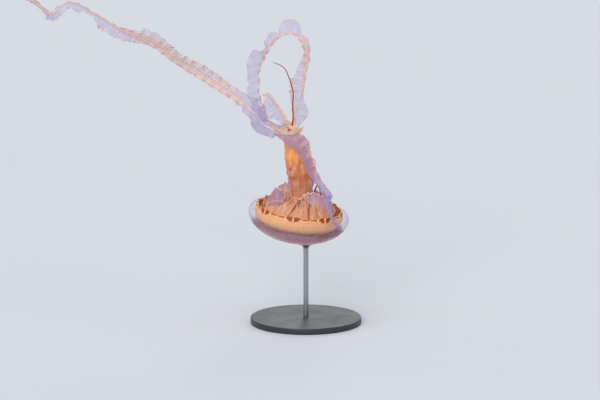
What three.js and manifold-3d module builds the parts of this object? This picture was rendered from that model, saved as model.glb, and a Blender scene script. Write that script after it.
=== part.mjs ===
// A life-size sea nettle jellyfish, mouth side up with its arms trailing, on a plain stand.
// Millimetres, +Z up. The origin is the centre of the stand's underside.
import * as THREE from 'three';
import { mergeVertices } from 'three/addons/utils/BufferGeometryUtils.js';
import Module from 'manifold-3d';

const wasm = await Module();
wasm.setup();

// ---- Driving dimensions -------------------------------------------------------------

const GAP = 0.35; // clearance between neighbouring pieces

// Stand.
const BASE_RADIUS = 110;
const BASE_HEIGHT = 12;
const BASE_BEVEL = 1.5;
const ROD_RADIUS = 5;
const SAUCER_RADIUS = 17;
const SAUCER_RISE = 6;

// Bell, measured about its own axis from the plane of its widest circle.
const BELL_RADIUS = 100;
const BELL_DEPTH = 55; // widest circle to the top of the bell
const BODY_RADIUS = 87.4; // the opaque inner body within the clear shell
const BODY_DEPTH = 34.5;
const BODY_RIM = 14; // its margin, above the widest circle
const CAVITY_RADIUS = 79;
const CAVITY_DEPTH = 24;
const BELL_ROWS = 5; // rows of facets from the middle to the widest circle
const LIP_RISE = 16;
const LIP_RADIUS = 94;
const LAPPET_REACH = 5.5;
const RIM_TURN = THREE.MathUtils.degToRad(-8.5);
const SENSE_ORGANS = 8;
const TENTACLES = 3 * SENSE_ORGANS;

// How the animal hangs on its stand.
const BELL_CENTRE = [-14.4, 8.7, 218.2];
const LEAN_RIGHT = THREE.MathUtils.degToRad(6.7);
const LEAN_FRONT = THREE.MathUtils.degToRad(4.1);

// Soft parts.
const LOBE_INNER = 27;
const LOBE_OUTER = 75;
const LOBE_TOP = 38;
const LOBE_EDGE = 12;
const LOBE_SPREAD = THREE.MathUtils.degToRad(80);
const MEMBRANE = 1.0; // thickness of an arm's free edge
const MIDRIB = 2.6; // and of the rib it grows from
const RIBBON_STEP = 5.5; // length of an arm's facets
const PLEAT = 3;

// ---- Materials ----------------------------------------------------------------------

function finish(color, roughness, metalness = 0) {
  return new THREE.MeshStandardMaterial({ color, roughness, metalness });
}

const FINISH = {
  base: () => finish('#23262b', 0.5, 0.3),
  steel: () => finish('#b9bcc0', 0.3, 1),
  shell: () => finish('#8f8bb5', 0.15),
  cream: () => finish('#dca67a', 0.5),
  folds: () => finish('#b8856f', 0.5),
  column: () => finish('#c77850', 0.5),
  membrane: () => finish('#8f84ae', 0.35),
  tentacle: () => finish('#7a2c22', 0.45),
};

// ---- Closed bodies ------------------------------------------------------------------

// Gives a geometry shared corners, no empty triangles and faces that point out.
function closeUp(geometry) {
  geometry.deleteAttribute('normal');
  geometry.deleteAttribute('uv');
  const merged = mergeVertices(geometry, 1e-3);
  const at = merged.getAttribute('position');
  const from = merged.getIndex().array;
  const index = [];
  const a = new THREE.Vector3();
  const b = new THREE.Vector3();
  const c = new THREE.Vector3();
  let volume = 0;
  for (let i = 0; i < from.length; i += 3) {
    const [p, q, r] = [from[i], from[i + 1], from[i + 2]];
    if (p === q || q === r || r === p) continue;
    index.push(p, q, r);
    a.fromBufferAttribute(at, p);
    b.fromBufferAttribute(at, q);
    c.fromBufferAttribute(at, r);
    volume += a.dot(b.cross(c)) / 6;
  }
  if (volume < 0) index.reverse();
  merged.setIndex(index);
  return merged;
}

function toSolid(geometry) {
  const vertProperties = Float32Array.from(geometry.getAttribute('position').array);
  const triVerts = Uint32Array.from(geometry.getIndex().array);
  return new wasm.Manifold(new wasm.Mesh({ numProp: 3, vertProperties, triVerts }));
}

// Takes the largest closed body of a solid back to a geometry.
function toGeometry(solid) {
  const bodies = solid.decompose().sort((a, b) => b.volume() - a.volume());
  const mesh = bodies[0].getMesh();
  const geometry = new THREE.BufferGeometry();
  geometry.setAttribute('position', new THREE.BufferAttribute(Float32Array.from(mesh.vertProperties), 3));
  geometry.setIndex(Array.from(mesh.triVerts));
  return geometry;
}

function cutClear(geometry, ...cutters) {
  let solid = toSolid(geometry);
  for (const cutter of cutters) solid = solid.subtract(toSolid(cutter));
  return toGeometry(solid);
}

function joined(geometry, pieces) {
  let solid = toSolid(geometry);
  for (const piece of pieces) solid = solid.add(toSolid(piece));
  return toGeometry(solid);
}

// A body of revolution about Z from a profile of [radius, height] that starts and ends on
// the axis. shape(point, angle, row) may move each corner.
function turned(profile, columns, shape = null, start = 0) {
  const points = profile.map(([r, z]) => new THREE.Vector2(r, z));
  const geometry = new THREE.LatheGeometry(points, columns, start);
  geometry.rotateX(Math.PI / 2);
  if (shape) {
    const at = geometry.getAttribute('position');
    const point = new THREE.Vector3();
    for (let i = 0; i < at.count; i++) {
      const column = Math.floor(i / points.length) % columns;
      point.fromBufferAttribute(at, i);
      shape(point, column, i % points.length);
      at.setXYZ(i, point.x, point.y, point.z);
    }
  }
  return closeUp(geometry);
}

// A body through closed rings of corners, each ring capped from its own middle at the ends.
function lofted(rings) {
  const sides = rings[0].length;
  const corners = rings.flat();
  const index = [];
  for (let i = 0; i + 1 < rings.length; i++) {
    for (let j = 0; j < sides; j++) {
      const a = i * sides + j;
      const b = i * sides + (j + 1) % sides;
      index.push(a, b, b + sides, a, b + sides, a + sides);
    }
  }
  const ends = [[rings[0], 0, 1], [rings.at(-1), (rings.length - 1) * sides, -1]];
  for (const [ring, first, way] of ends) {
    const middle = new THREE.Vector3();
    for (const corner of ring) middle.addScaledVector(corner, 1 / sides);
    corners.push(middle);
    for (let j = 0; j < sides; j++) {
      const a = first + j;
      const b = first + (j + 1) % sides;
      index.push(corners.length - 1, way > 0 ? b : a, way > 0 ? a : b);
    }
  }
  const geometry = new THREE.BufferGeometry().setFromPoints(corners);
  geometry.setIndex(index);
  return closeUp(geometry);
}

// A round body along part of a curve. radius(t, angle) gives its size, up steadies the
// rings, and extra makes it that much bigger all round, for cutting a neighbour clear.
function swept(curve, steps, sides, radius, { up = [1, 0, 0], from = 0, to = 1, extra = 0 } = {}) {
  const side = new THREE.Vector3(...up);
  const rings = [];
  for (let i = 0; i <= steps; i++) {
    const t = from + (to - from) * i / steps;
    const centre = curve.getPoint(t);
    const along = curve.getTangent(t);
    if (i === 0) centre.addScaledVector(along, -extra);
    if (i === steps) centre.addScaledVector(along, extra);
    const across = side.clone().addScaledVector(along, -side.dot(along)).normalize();
    const beyond = new THREE.Vector3().crossVectors(along, across);
    const ring = [];
    for (let j = 0; j < sides; j++) {
      const angle = (j / sides) * 2 * Math.PI;
      const r = radius(t, angle) + extra;
      ring.push(centre.clone()
        .addScaledVector(across, r * Math.cos(angle))
        .addScaledVector(beyond, r * Math.sin(angle)));
    }
    rings.push(ring);
  }
  return lofted(rings);
}

function curveThrough(points) {
  return new THREE.CatmullRomCurve3(points.map((p) => new THREE.Vector3(...p)), false, 'centripetal');
}

// ---- Stand --------------------------------------------------------------------------

const baseProfile = [
  [0, 0],
  [BASE_RADIUS - BASE_BEVEL, 0],
  [BASE_RADIUS, BASE_BEVEL],
  [BASE_RADIUS, BASE_HEIGHT - BASE_BEVEL],
  [BASE_RADIUS - BASE_BEVEL, BASE_HEIGHT],
  [0, BASE_HEIGHT],
];
const baseGeometry = turned(baseProfile, 48);

// ---- Bell ---------------------------------------------------------------------------

// Rows of a bowl from its lowest point to its widest circle.
function bowl(radius, depth) {
  const rows = [];
  for (let i = 0; i <= BELL_ROWS; i++) {
    const angle = (i / BELL_ROWS) * Math.PI / 2;
    rows.push([radius * Math.sin(angle), -depth * Math.cos(angle)]);
  }
  return rows;
}

// The columns of the rim where a cleft divides two lappets: eight sense organs, with
// three tentacles between each pair of them.
const COLUMNS = 96;
const OCTANT = COLUMNS / SENSE_ORGANS;
const CLEFTS = [0, 3, 6, 9, 12];

// How far a rim column stands out between its two clefts, 0 in a cleft and 1 mid-lappet.
function lappet(column) {
  const place = column % OCTANT;
  const next = CLEFTS.findIndex((cleft) => cleft > place);
  const width = CLEFTS[next] - CLEFTS[next - 1];
  return Math.sin(Math.PI * (place - CLEFTS[next - 1]) / width);
}

const outer = bowl(BELL_RADIUS, BELL_DEPTH);
const inner = bowl(BODY_RADIUS + GAP + 0.1, BODY_DEPTH + GAP + 0.1);
const shellProfile = [
  ...outer,
  [BELL_RADIUS - 1.4, LIP_RISE * 0.55],
  [LIP_RADIUS, LIP_RISE],
  [LIP_RADIUS - 1.2, LIP_RISE - 1.5],
  [BODY_RADIUS + 1, LIP_RISE * 0.5],
  ...inner.reverse(),
];
const LIP_OUT = outer.length + 1;
const LIP_IN = outer.length + 2;

function shapeRim(point, column, row) {
  if (row !== LIP_OUT && row !== LIP_IN) return;
  const reach = LAPPET_REACH * lappet(column);
  const radius = Math.hypot(point.x, point.y);
  point.x *= (radius - reach) / radius;
  point.y *= (radius - reach) / radius;
  point.z += reach * 0.6;
}

const bellGeometry = turned(shellProfile, COLUMNS, shapeRim, RIM_TURN);

// ---- Inner body, with a short drawn-up tentacle at most clefts -----------------------

const bodyProfile = [
  ...bowl(BODY_RADIUS, BODY_DEPTH),
  [BODY_RADIUS - 0.4, BODY_RIM * 0.6],
  [BODY_RADIUS - 2, BODY_RIM],
  [BODY_RADIUS - 6, BODY_RIM - 0.5],
  ...bowl(CAVITY_RADIUS, CAVITY_DEPTH).reverse(),
];

function polar(radius, angle, height) {
  return [radius * Math.cos(angle), radius * Math.sin(angle), height];
}

// The clefts that carry the four long tentacles, counted round from the front.
const LONG_ONES = [1, 12, 13, 23];

function tentacleAngle(number) {
  const octant = Math.floor(number / 3);
  const cleft = (number % 3 + 1) / 4;
  return RIM_TURN - Math.PI / 2 + ((octant + cleft) / SENSE_ORGANS) * 2 * Math.PI;
}

function shortTentacle(number) {
  const angle = tentacleAngle(number);
  const wave = Math.sin(number * 2.4);
  const path = curveThrough([
    polar(BODY_RADIUS - 4.5, angle, BODY_RIM - 3),
    polar(BODY_RADIUS - 5.5, angle + 0.01, BODY_RIM + 3),
    polar(BODY_RADIUS - 8, angle + 0.06, BODY_RIM + 4.5),
    polar(BODY_RADIUS - 9.5, angle + 0.12, BODY_RIM + 1.5 + wave),
    polar(BODY_RADIUS - 10, angle + 0.17 + 0.01 * wave, BODY_RIM + 2.5 - wave),
  ]);
  return swept(path, 5, 5, (t) => 1.8 - 1.0 * t, { up: [0, 0, 1] });
}

const shortOnes = [];
for (let number = 0; number < TENTACLES; number++) {
  if (!LONG_ONES.includes(number)) shortOnes.push(shortTentacle(number));
}
const bodyWhole = joined(turned(bodyProfile, 48), shortOnes);

// ---- Folded lobes round the mouth ----------------------------------------------------

// The floor of the cavity under a point, along its facets.
function cavityFloor(radius) {
  const rows = bowl(CAVITY_RADIUS, CAVITY_DEPTH);
  const i = Math.max(1, rows.findIndex(([r]) => r >= radius));
  const [r0, z0] = rows[i - 1];
  const [r1, z1] = rows[i];
  return z0 + (z1 - z0) * (radius - r0) / (r1 - r0);
}

// The top of a lobe, pleated outward from the column and raised in frills near it.
function lobeHeight(radius, angle, middle) {
  const t = (radius - LOBE_INNER) / (LOBE_OUTER - LOBE_INNER);
  const part = (angle - middle) / (LOBE_SPREAD / 2);
  const pleat = Math.sin(part * Math.PI * 4 + middle + 0.8 * Math.sin(radius / 11));
  const frill = Math.exp(-(((radius - 41) / 9) ** 2)) * Math.sin(part * Math.PI * 2.6 + middle * 2);
  const fall = 7 * part ** 4;
  return LOBE_EDGE + (LOBE_TOP - LOBE_EDGE) * (1 - t * t) - fall + PLEAT * (pleat + frill);
}

function lobe(middle) {
  const columns = 26;
  const radii = [LOBE_INNER, 36, 46, 57, 67, LOBE_OUTER];
  const rings = [];
  for (let i = 0; i <= columns; i++) {
    const angle = middle + (i / columns * 2 - 1) * LOBE_SPREAD / 2;
    const top = radii.map((radius) => new THREE.Vector3(
      ...polar(radius, angle, lobeHeight(radius, angle, middle))));
    const floor = radii.map((radius) => new THREE.Vector3(
      ...polar(radius, angle, cavityFloor(radius) + GAP + 0.45)));
    rings.push([...top, ...floor.reverse()]);
  }
  return strip(rings, radii.length);
}

// A body whose sections are rows of corners over their own undersides: each ring runs
// along the top and back below, and both faces are divided into triangles alike.
function strip(rings, width) {
  const count = 2 * width;
  const index = [];
  const quad = (a, b, c, d, flip) => {
    if (flip) index.push(a, b, d, b, c, d);
    else index.push(a, b, c, a, c, d);
  };
  for (let i = 0; i + 1 < rings.length; i++) {
    for (let j = 0; j < count; j++) {
      const a = i * count + j;
      const b = i * count + (j + 1) % count;
      quad(a, b, b + count, a + count, j >= width);
    }
  }
  for (let j = 0; j + 1 < width; j++) {
    const back = count - 1 - j;
    quad(j, back, back - 1, j + 1, false);
    const last = (rings.length - 1) * count;
    quad(last + j, last + j + 1, last + back - 1, last + back, false);
  }
  const geometry = new THREE.BufferGeometry().setFromPoints(rings.flat());
  geometry.setIndex(index);
  return closeUp(geometry);
}

// ---- Arms ---------------------------------------------------------------------------

// The side of the animal that its arms are spread towards.
const FACING = new THREE.Vector3(-0.03, -0.96, 0.28);

// An arm is a ruffled membrane on both sides of a midrib. Each station holds the rib's
// x, y and z, then the width of the membrane on its left and on its right.
class Arm {
  constructor(stations, { pitch = 18, ruffle = [3, 3], twist = () => 0, camber = 0 } = {}) {
    this.stations = stations;
    this.curve = curveThrough(stations.map((s) => s.slice(0, 3)));
    this.pitch = pitch;
    this.ruffle = ruffle;
    this.twist = twist;
    this.camber = camber;
    this.lengths = this.curve.getLengths((stations.length - 1) * 16);
  }

  // Distance along the rib at station k, which need not be whole.
  along(k) {
    const place = Math.max(0, k) * 16;
    const low = Math.min(Math.floor(place), this.lengths.length - 2);
    return this.lengths[low] + (this.lengths[low + 1] - this.lengths[low]) * (place - low);
  }

  widths(k) {
    const low = THREE.MathUtils.clamp(Math.floor(k), 0, this.stations.length - 2);
    const t = THREE.MathUtils.clamp(k - low, 0, 1);
    const blend = t * t * (3 - 2 * t);
    return [3, 4].map((side) => this.stations[low][side]
      + (this.stations[low + 1][side] - this.stations[low][side]) * blend);
  }

  // A point of the membrane's middle surface; v runs from -1 at the left edge to 1.
  surface(k, v) {
    const t = THREE.MathUtils.clamp(k / (this.stations.length - 1), 0, 1);
    const point = this.curve.getPoint(t);
    const along = this.curve.getTangent(t);
    const across = new THREE.Vector3().crossVectors(FACING, along).normalize();
    const turn = new THREE.Quaternion().setFromAxisAngle(along, this.twist(k));
    across.applyQuaternion(turn);
    const out = new THREE.Vector3().crossVectors(along, across);
    const [left, right] = this.widths(k);
    const width = v < 0 ? left : right;
    const side = v < 0 ? 0 : 1;
    const phase = this.along(k) / this.pitch * 2 * Math.PI;
    const wave = Math.sin(phase + side * 1.7) + 0.4 * Math.sin(phase * 0.43 + side * 2.9);
    const room = Math.min(1, width / 10);
    const lift = this.ruffle[side] * wave * Math.abs(v) ** 1.6 * room;
    return point
      .addScaledVector(across, -v * width)
      .addScaledVector(out, lift - this.camber * v * v);
  }

  // The stretch of the arm between two stations.
  stretch(from, to) {
    const steps = Math.max(4, Math.round((this.along(to) - this.along(from)) / RIBBON_STEP));
    const across = [-1, -0.5, 0, 0.5, 1];
    const trim = (k, way) => k + way * GAP / 4 / Math.abs(this.along(k + way / 2) - this.along(k));
    const first = from === 0 ? from : trim(from, 1);
    const last = to === this.stations.length - 1 ? to : trim(to, -1);
    const rings = [];
    for (let i = 0; i <= steps; i++) {
      const k = first + (last - first) * i / steps;
      const top = [];
      const under = [];
      for (const v of across) {
        const point = this.surface(k, v);
        const ahead = this.surface(k + 0.01, v).sub(this.surface(k - 0.01, v));
        const aside = this.surface(k, v + 0.02).sub(this.surface(k, v - 0.02));
        const normal = new THREE.Vector3().crossVectors(ahead, aside).normalize();
        const half = (MEMBRANE + (MIDRIB - MEMBRANE) * Math.max(0, 1 - 2 * Math.abs(v))) / 2;
        top.push(point.clone().addScaledVector(normal, half));
        under.push(point.clone().addScaledVector(normal, -half));
      }
      rings.push([...top, ...under.reverse()]);
    }
    return strip(rings, across.length);
  }
}

const longArm = new Arm([
  [-41, 12, 164, 10, 10],
  [-64, 18, 162, 16, 12],
  [-89, 23, 168, 22, 14],
  [-107, 27, 185, 18, 20],
  [-127, 32, 201, 14, 24],
  [-148, 38, 214, 11, 14],
  [-195, 48, 237, 12, 16],
  [-227, 52, 254, 14, 15],
  [-256, 53, 266, 12, 13],
  [-286, 50, 281, 10, 14],
  [-311, 48, 297, 10, 18],
  [-337, 45, 308, 11, 21],
  [-361, 39, 315, 15, 12],
  [-390, 34, 325, 19, 5],
  [-420, 32, 339, 20, 3],
  [-435, 30, 347, 17, 3],
  [-450, 29, 354, 6, 3],
  [-475, 25, 366, 13, 4],
  [-501, 22, 371, 13, 3],
  [-517, 18, 359, 15, 4],
  [-530, 15, 346, 13, 4],
  [-552, 14, 358, 4, 4],
  [-575, 13, 373, 7, 6],
  [-598, 13, 391, 8, 7],
  [-621, 11, 418, 1, 1],
], { pitch: 20, ruffle: [3, 6], twist: (k) => 0.35 * Math.sin(k * 0.45) });

const loopArm = new Arm([
  [-29, 14, 167, 6, 6],
  [-30, 18, 191, 6, 22],
  [-27, 21, 208, 12, 23],
  [-22, 25, 231, 24, 5],
  [-21, 26, 252, 28, 3],
  [-20, 28, 280, 20, 3],
  [-18, 30, 307, 13, 4],
  [-20, 31, 326, 9, 5],
  [-28, 35, 341, 8, 10],
  [-41, 37, 351, 4, 9],
  [-53, 40, 356, 3, 26],
  [-66, 42, 354, 3, 28],
  [-77, 43, 347, 3, 10],
  [-90, 46, 332, 3, 19],
  [-100, 48, 313, 4, 7],
  [-110, 58, 293, 8, 23],
  [-118, 62, 271, 10, 18],
  [-117, 62, 242, 11, 13],
  [-112, 58, 216, 10, 15],
  [-97, 52, 190, 9, 12],
  [-81, 46, 170, 5, 6],
], { pitch: 19, ruffle: [4.5, 4], twist: (k) => 0.3 * Math.sin(k * 0.6 + 1) });

const fanArm = new Arm([
  [-40, 7, 172, 4, 3],
  [-52, 3, 194, 16, 3],
  [-64, 2, 209, 24, 3],
  [-76, 2, 223, 26, 3],
  [-89, 3, 235, 12, 3],
  [-100, 5, 235, 1.5, 1],
], { pitch: 14, ruffle: [3, 0] });

const nearArm = new Arm([
  [-68, 6, 158, 1, 1],
  [-49, -4, 156, 10, 8],
  [-29, -11, 148, 22, 10],
  [-21, -14, 141, 28, 6.5],
  [-13, -16, 134, 22, 7],
  [0, -19, 118, 14, 7],
  [12, -20, 99, 11, 8.5],
  [23, -24, 84, 10, 6],
  [36, -32, 70, 9, 6],
  [50, -43, 58, 9.5, 9.5],
  [53, -53, 48, 7, 7],
  [58, -64, 34, 3.7, 3.7],
  [66, -71, 19, 3.3, 3.3],
  [78, -71, 4, 3, 4],
  [89, -62, -8, 1, 1],
], {
  pitch: 20,
  ruffle: [1.6, 0.3],
  twist: (k) => -0.5 * THREE.MathUtils.smoothstep(k, 8, 11),
  camber: 2,
});

// ---- Column and crown -----------------------------------------------------------------

// The four arms pressed together into one stem, from the cavity's floor to the crown
// where they part again.
const stem = curveThrough([
  [0, 0, -21.9],
  [0, 0, -6],
  [-1, 2, 20],
  [-3, 4, 45],
  [-4, 5, 69],
  [-8, 6, 89],
  [-15, 8, 108],
  [-22, 9, 128],
  [-30, 11, 152],
  [-33, 12.5, 166],
  [-35, 13.5, 177],
]);
const STEM_RADII = [22, 21, 20, 21, 22, 24, 22, 21, 17, 18, 7];
const CROWN_START = 0.8;

function stemRadius(t, angle) {
  const place = t * (STEM_RADII.length - 1);
  const low = Math.min(Math.floor(place), STEM_RADII.length - 2);
  const blend = place - low;
  const radius = STEM_RADII[low] + (STEM_RADII[low + 1] - STEM_RADII[low]) * blend;
  const ridge = Math.cos(4 * angle + 5 * t);
  const folds = 0.08 * ridge + 0.03 * Math.max(0, ridge) * Math.sin(70 * t);
  const frills = 0.12 * THREE.MathUtils.smoothstep(t, CROWN_START, 1) * Math.sin(7 * angle);
  return radius * (1 + folds + frills);
}

const crownFoot = CROWN_START + GAP / stem.getLength() * 1.1;
const columnGeometry = swept(stem, 16, 28, stemRadius, { to: CROWN_START });
const crown = swept(stem, 6, 28, stemRadius, { from: crownFoot });
const crownClearance = swept(stem, 6, 28, stemRadius, { from: crownFoot, extra: GAP + 0.2 });

// ---- Long tentacles -------------------------------------------------------------------

function tentacle({ path, steps, root, tip, up }, extra = 0) {
  const radius = (t) => root + (tip - root) * t;
  return swept(curveThrough(path), steps, 6, radius, { up, extra });
}

const risingPath = [
  [-34, 10, 172],
  [-34, 2, 196],
  [-38, 2, 222],
  [-40, 6, 245],
  [-51, 12, 272],
  [-64, 15, 291],
  [-86, 18, 299],
];
const loopPath = [
  [30, 11, 28],
  [26, 9, 49],
  [31, 4, 62],
  [38, -3, 49],
  [48, -6, 28],
];

// A place just above the front lobe.
function onLobe(radius, degrees, lift = 1.3) {
  const angle = THREE.MathUtils.degToRad(degrees);
  return polar(radius, angle, lobeHeight(radius, angle, Math.PI * 1.5) + lift);
}

const leftPath = [
  polar(83, THREE.MathUtils.degToRad(250.25), 11.5),
  onLobe(79, 250.9, 6),
  onLobe(72, 253),
  onLobe(64, 256),
  onLobe(56, 259),
  onLobe(48, 262),
  onLobe(40, 266),
  onLobe(33, 272),
  onLobe(29.5, 281, 3),
];
const rightPath = [
  polar(83, THREE.MathUtils.degToRad(284), 11.5),
  onLobe(79, 284, 6),
  onLobe(72, 284.3),
  onLobe(63, 285.5),
  onLobe(54, 288.5),
  onLobe(46, 292.5),
  onLobe(38, 298, 2),
];

const TRAILING = {
  tentacle_left: { path: leftPath, steps: 18, root: 1.4, tip: 0.8, up: [1, 0, 0] },
  tentacle_right: { path: rightPath, steps: 14, root: 1.4, tip: 0.8, up: [1, 0, 0] },
  tentacle_loop: { path: loopPath, steps: 20, root: 1.3, tip: 1.7, up: [0, 1, 0] },
  tentacle_rising: { path: risingPath, steps: 20, root: 1.8, tip: 0.9, up: [0, 1, 0] },
};

// ---- The animal, about its own axis ----------------------------------------------------

const LOBE_PLACES = { lobe_right: 0, lobe_back: 90, lobe_left: 180, lobe_front: 270 };
const lobes = {};
for (const [name, degrees] of Object.entries(LOBE_PLACES)) {
  lobes[name] = lobe(THREE.MathUtils.degToRad(degrees));
}
const rimRoots = [tentacle(TRAILING.tentacle_left, GAP), tentacle(TRAILING.tentacle_right, GAP)];
lobes.lobe_front = cutClear(lobes.lobe_front, ...rimRoots);
lobes.lobe_right = cutClear(lobes.lobe_right, tentacle(TRAILING.tentacle_loop, GAP));
const bodyGeometry = cutClear(bodyWhole, ...rimRoots);
const crownGeometry = cutClear(crown, tentacle(TRAILING.tentacle_rising, GAP));

const animal = new THREE.Group();
animal.position.set(...BELL_CENTRE);
animal.rotation.set(LEAN_FRONT, LEAN_RIGHT, 0);

function add(group, name, geometry, material) {
  const mesh = new THREE.Mesh(geometry, material);
  mesh.name = name;
  group.add(mesh);
}

add(animal, 'bell', bellGeometry, FINISH.shell());
add(animal, 'inner_body', bodyGeometry, FINISH.cream());
for (const [name, geometry] of Object.entries(lobes)) add(animal, name, geometry, FINISH.folds());
add(animal, 'arm_column', columnGeometry, FINISH.column());
add(animal, 'arm_crown', crownGeometry, FINISH.column());

const STRETCHES = [
  ['arm_long', longArm, [0, 4, 8, 12, 17, 24]],
  ['arm_loop', loopArm, [0, 4, 8, 12, 16, 20]],
  ['arm_fan', fanArm, [0, 5]],
  ['arm_near', nearArm, [0, 6, 14]],
];
for (const [name, arm, stations] of STRETCHES) {
  for (let i = 0; i + 1 < stations.length; i++) {
    const whole = arm.stretch(stations[i], stations[i + 1]);
    const geometry = i === 0 ? cutClear(whole, crownClearance) : whole;
    add(animal, stations.length > 2 ? `${name}_${i + 1}` : name, geometry, FINISH.membrane());
  }
}

for (const [name, shape] of Object.entries(TRAILING)) {
  add(animal, name, tentacle(shape), FINISH.tentacle());
}

// ---- Rod and saucer, cut to the bell that rests on them ---------------------------------

animal.updateMatrixWorld(true);
const bellClearance = turned([...bowl(BELL_RADIUS + GAP, BELL_DEPTH + GAP), [0, 0]], COLUMNS, null, RIM_TURN);
bellClearance.applyMatrix4(animal.matrixWorld);

const bellLowest = BELL_CENTRE[2] - 56.2;
const rodProfile = [
  [0, BASE_HEIGHT + GAP],
  [ROD_RADIUS, BASE_HEIGHT + GAP],
  [ROD_RADIUS, bellLowest - 14],
  [ROD_RADIUS + 2, bellLowest - 8],
  [SAUCER_RADIUS, bellLowest - 2],
  [SAUCER_RADIUS, bellLowest + SAUCER_RISE],
  [0, bellLowest + SAUCER_RISE],
];
const rodGeometry = cutClear(turned(rodProfile, 24), bellClearance);

const jellyfish = new THREE.Group();
add(jellyfish, 'stand_base', baseGeometry, FINISH.base());
add(jellyfish, 'stand_rod', rodGeometry, FINISH.steel());
jellyfish.add(animal);

export default jellyfish;
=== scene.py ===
import math
from types import SimpleNamespace

import bmesh
import bpy
import numpy as np
from mathutils import Matrix, Vector


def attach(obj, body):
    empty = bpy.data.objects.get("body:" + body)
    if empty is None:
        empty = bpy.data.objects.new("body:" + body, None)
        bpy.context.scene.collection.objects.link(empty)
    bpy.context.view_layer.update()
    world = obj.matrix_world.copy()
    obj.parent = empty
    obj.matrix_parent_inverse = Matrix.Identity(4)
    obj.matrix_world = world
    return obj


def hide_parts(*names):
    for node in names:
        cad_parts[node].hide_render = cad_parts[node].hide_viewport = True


bl_info = {
    "name": "Sea nettle jellyfish model",
    "version": (1, 0, 0),
    "blender": (4, 5, 0),
    "location": "3D View > Sidebar > Sea nettle",
    "description": "Skins and finishes of a life-size sea nettle on its display stand",
    "category": "Object",
}

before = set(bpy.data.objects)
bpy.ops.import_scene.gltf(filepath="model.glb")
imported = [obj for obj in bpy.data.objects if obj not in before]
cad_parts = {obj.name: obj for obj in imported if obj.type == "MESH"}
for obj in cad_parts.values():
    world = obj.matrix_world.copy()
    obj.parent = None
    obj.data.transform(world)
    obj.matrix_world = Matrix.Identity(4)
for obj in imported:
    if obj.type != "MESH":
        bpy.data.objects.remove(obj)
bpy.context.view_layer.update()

MM = 0.001
BODY = "root"


def srgb(hex_colour):
    """Turns an sRGB hex value into linear red, green, blue and alpha."""
    parts = [int(hex_colour[i:i + 2], 16) / 255 for i in (1, 3, 5)]
    linear = [c / 12.92 if c <= 0.04045 else ((c + 0.055) / 1.055) ** 2.4 for c in parts]
    return (*linear, 1.0)


# ---- What a user may change -------------------------------------------------------------


def size_of(name, description, millimetres):
    return bpy.props.FloatProperty(
        name=name, description=description, default=millimetres * MM, min=0.0,
        unit="LENGTH", subtype="DISTANCE", precision=4)


def colour_of(name, description, hex_colour):
    return bpy.props.FloatVectorProperty(
        name=name, description=description, default=srgb(hex_colour), size=4,
        subtype="COLOR", min=0.0, max=1.0)


class SeaNettleSizes(bpy.types.PropertyGroup):
    """Sizes of the animal's skins and of its stand."""

    bell_radius: size_of("Bell radius", "Half the width of the clear bell", 100)
    bell_depth: size_of("Bell depth", "Widest circle to the top of the bell", 55)
    body_radius: size_of("Body radius", "Half the width of the cream inner body", 87.4)
    body_depth: size_of("Body depth", "Widest circle to the top of the inner body", 34.5)
    film: size_of("Film", "Thickness of a membrane between its rib and its edge", 0.6)
    rib: size_of("Rib", "Thickness of a membrane along its rib", 2.6)
    tentacle: size_of("Tentacle", "Thickness of a drawn-up tentacle at its root", 1.7)
    rod_radius: size_of("Rod radius", "Half the width of the stand's rod", 5)
    base_bevel: size_of("Base bevel", "Rounding of the base's edges", 1.5)


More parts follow.
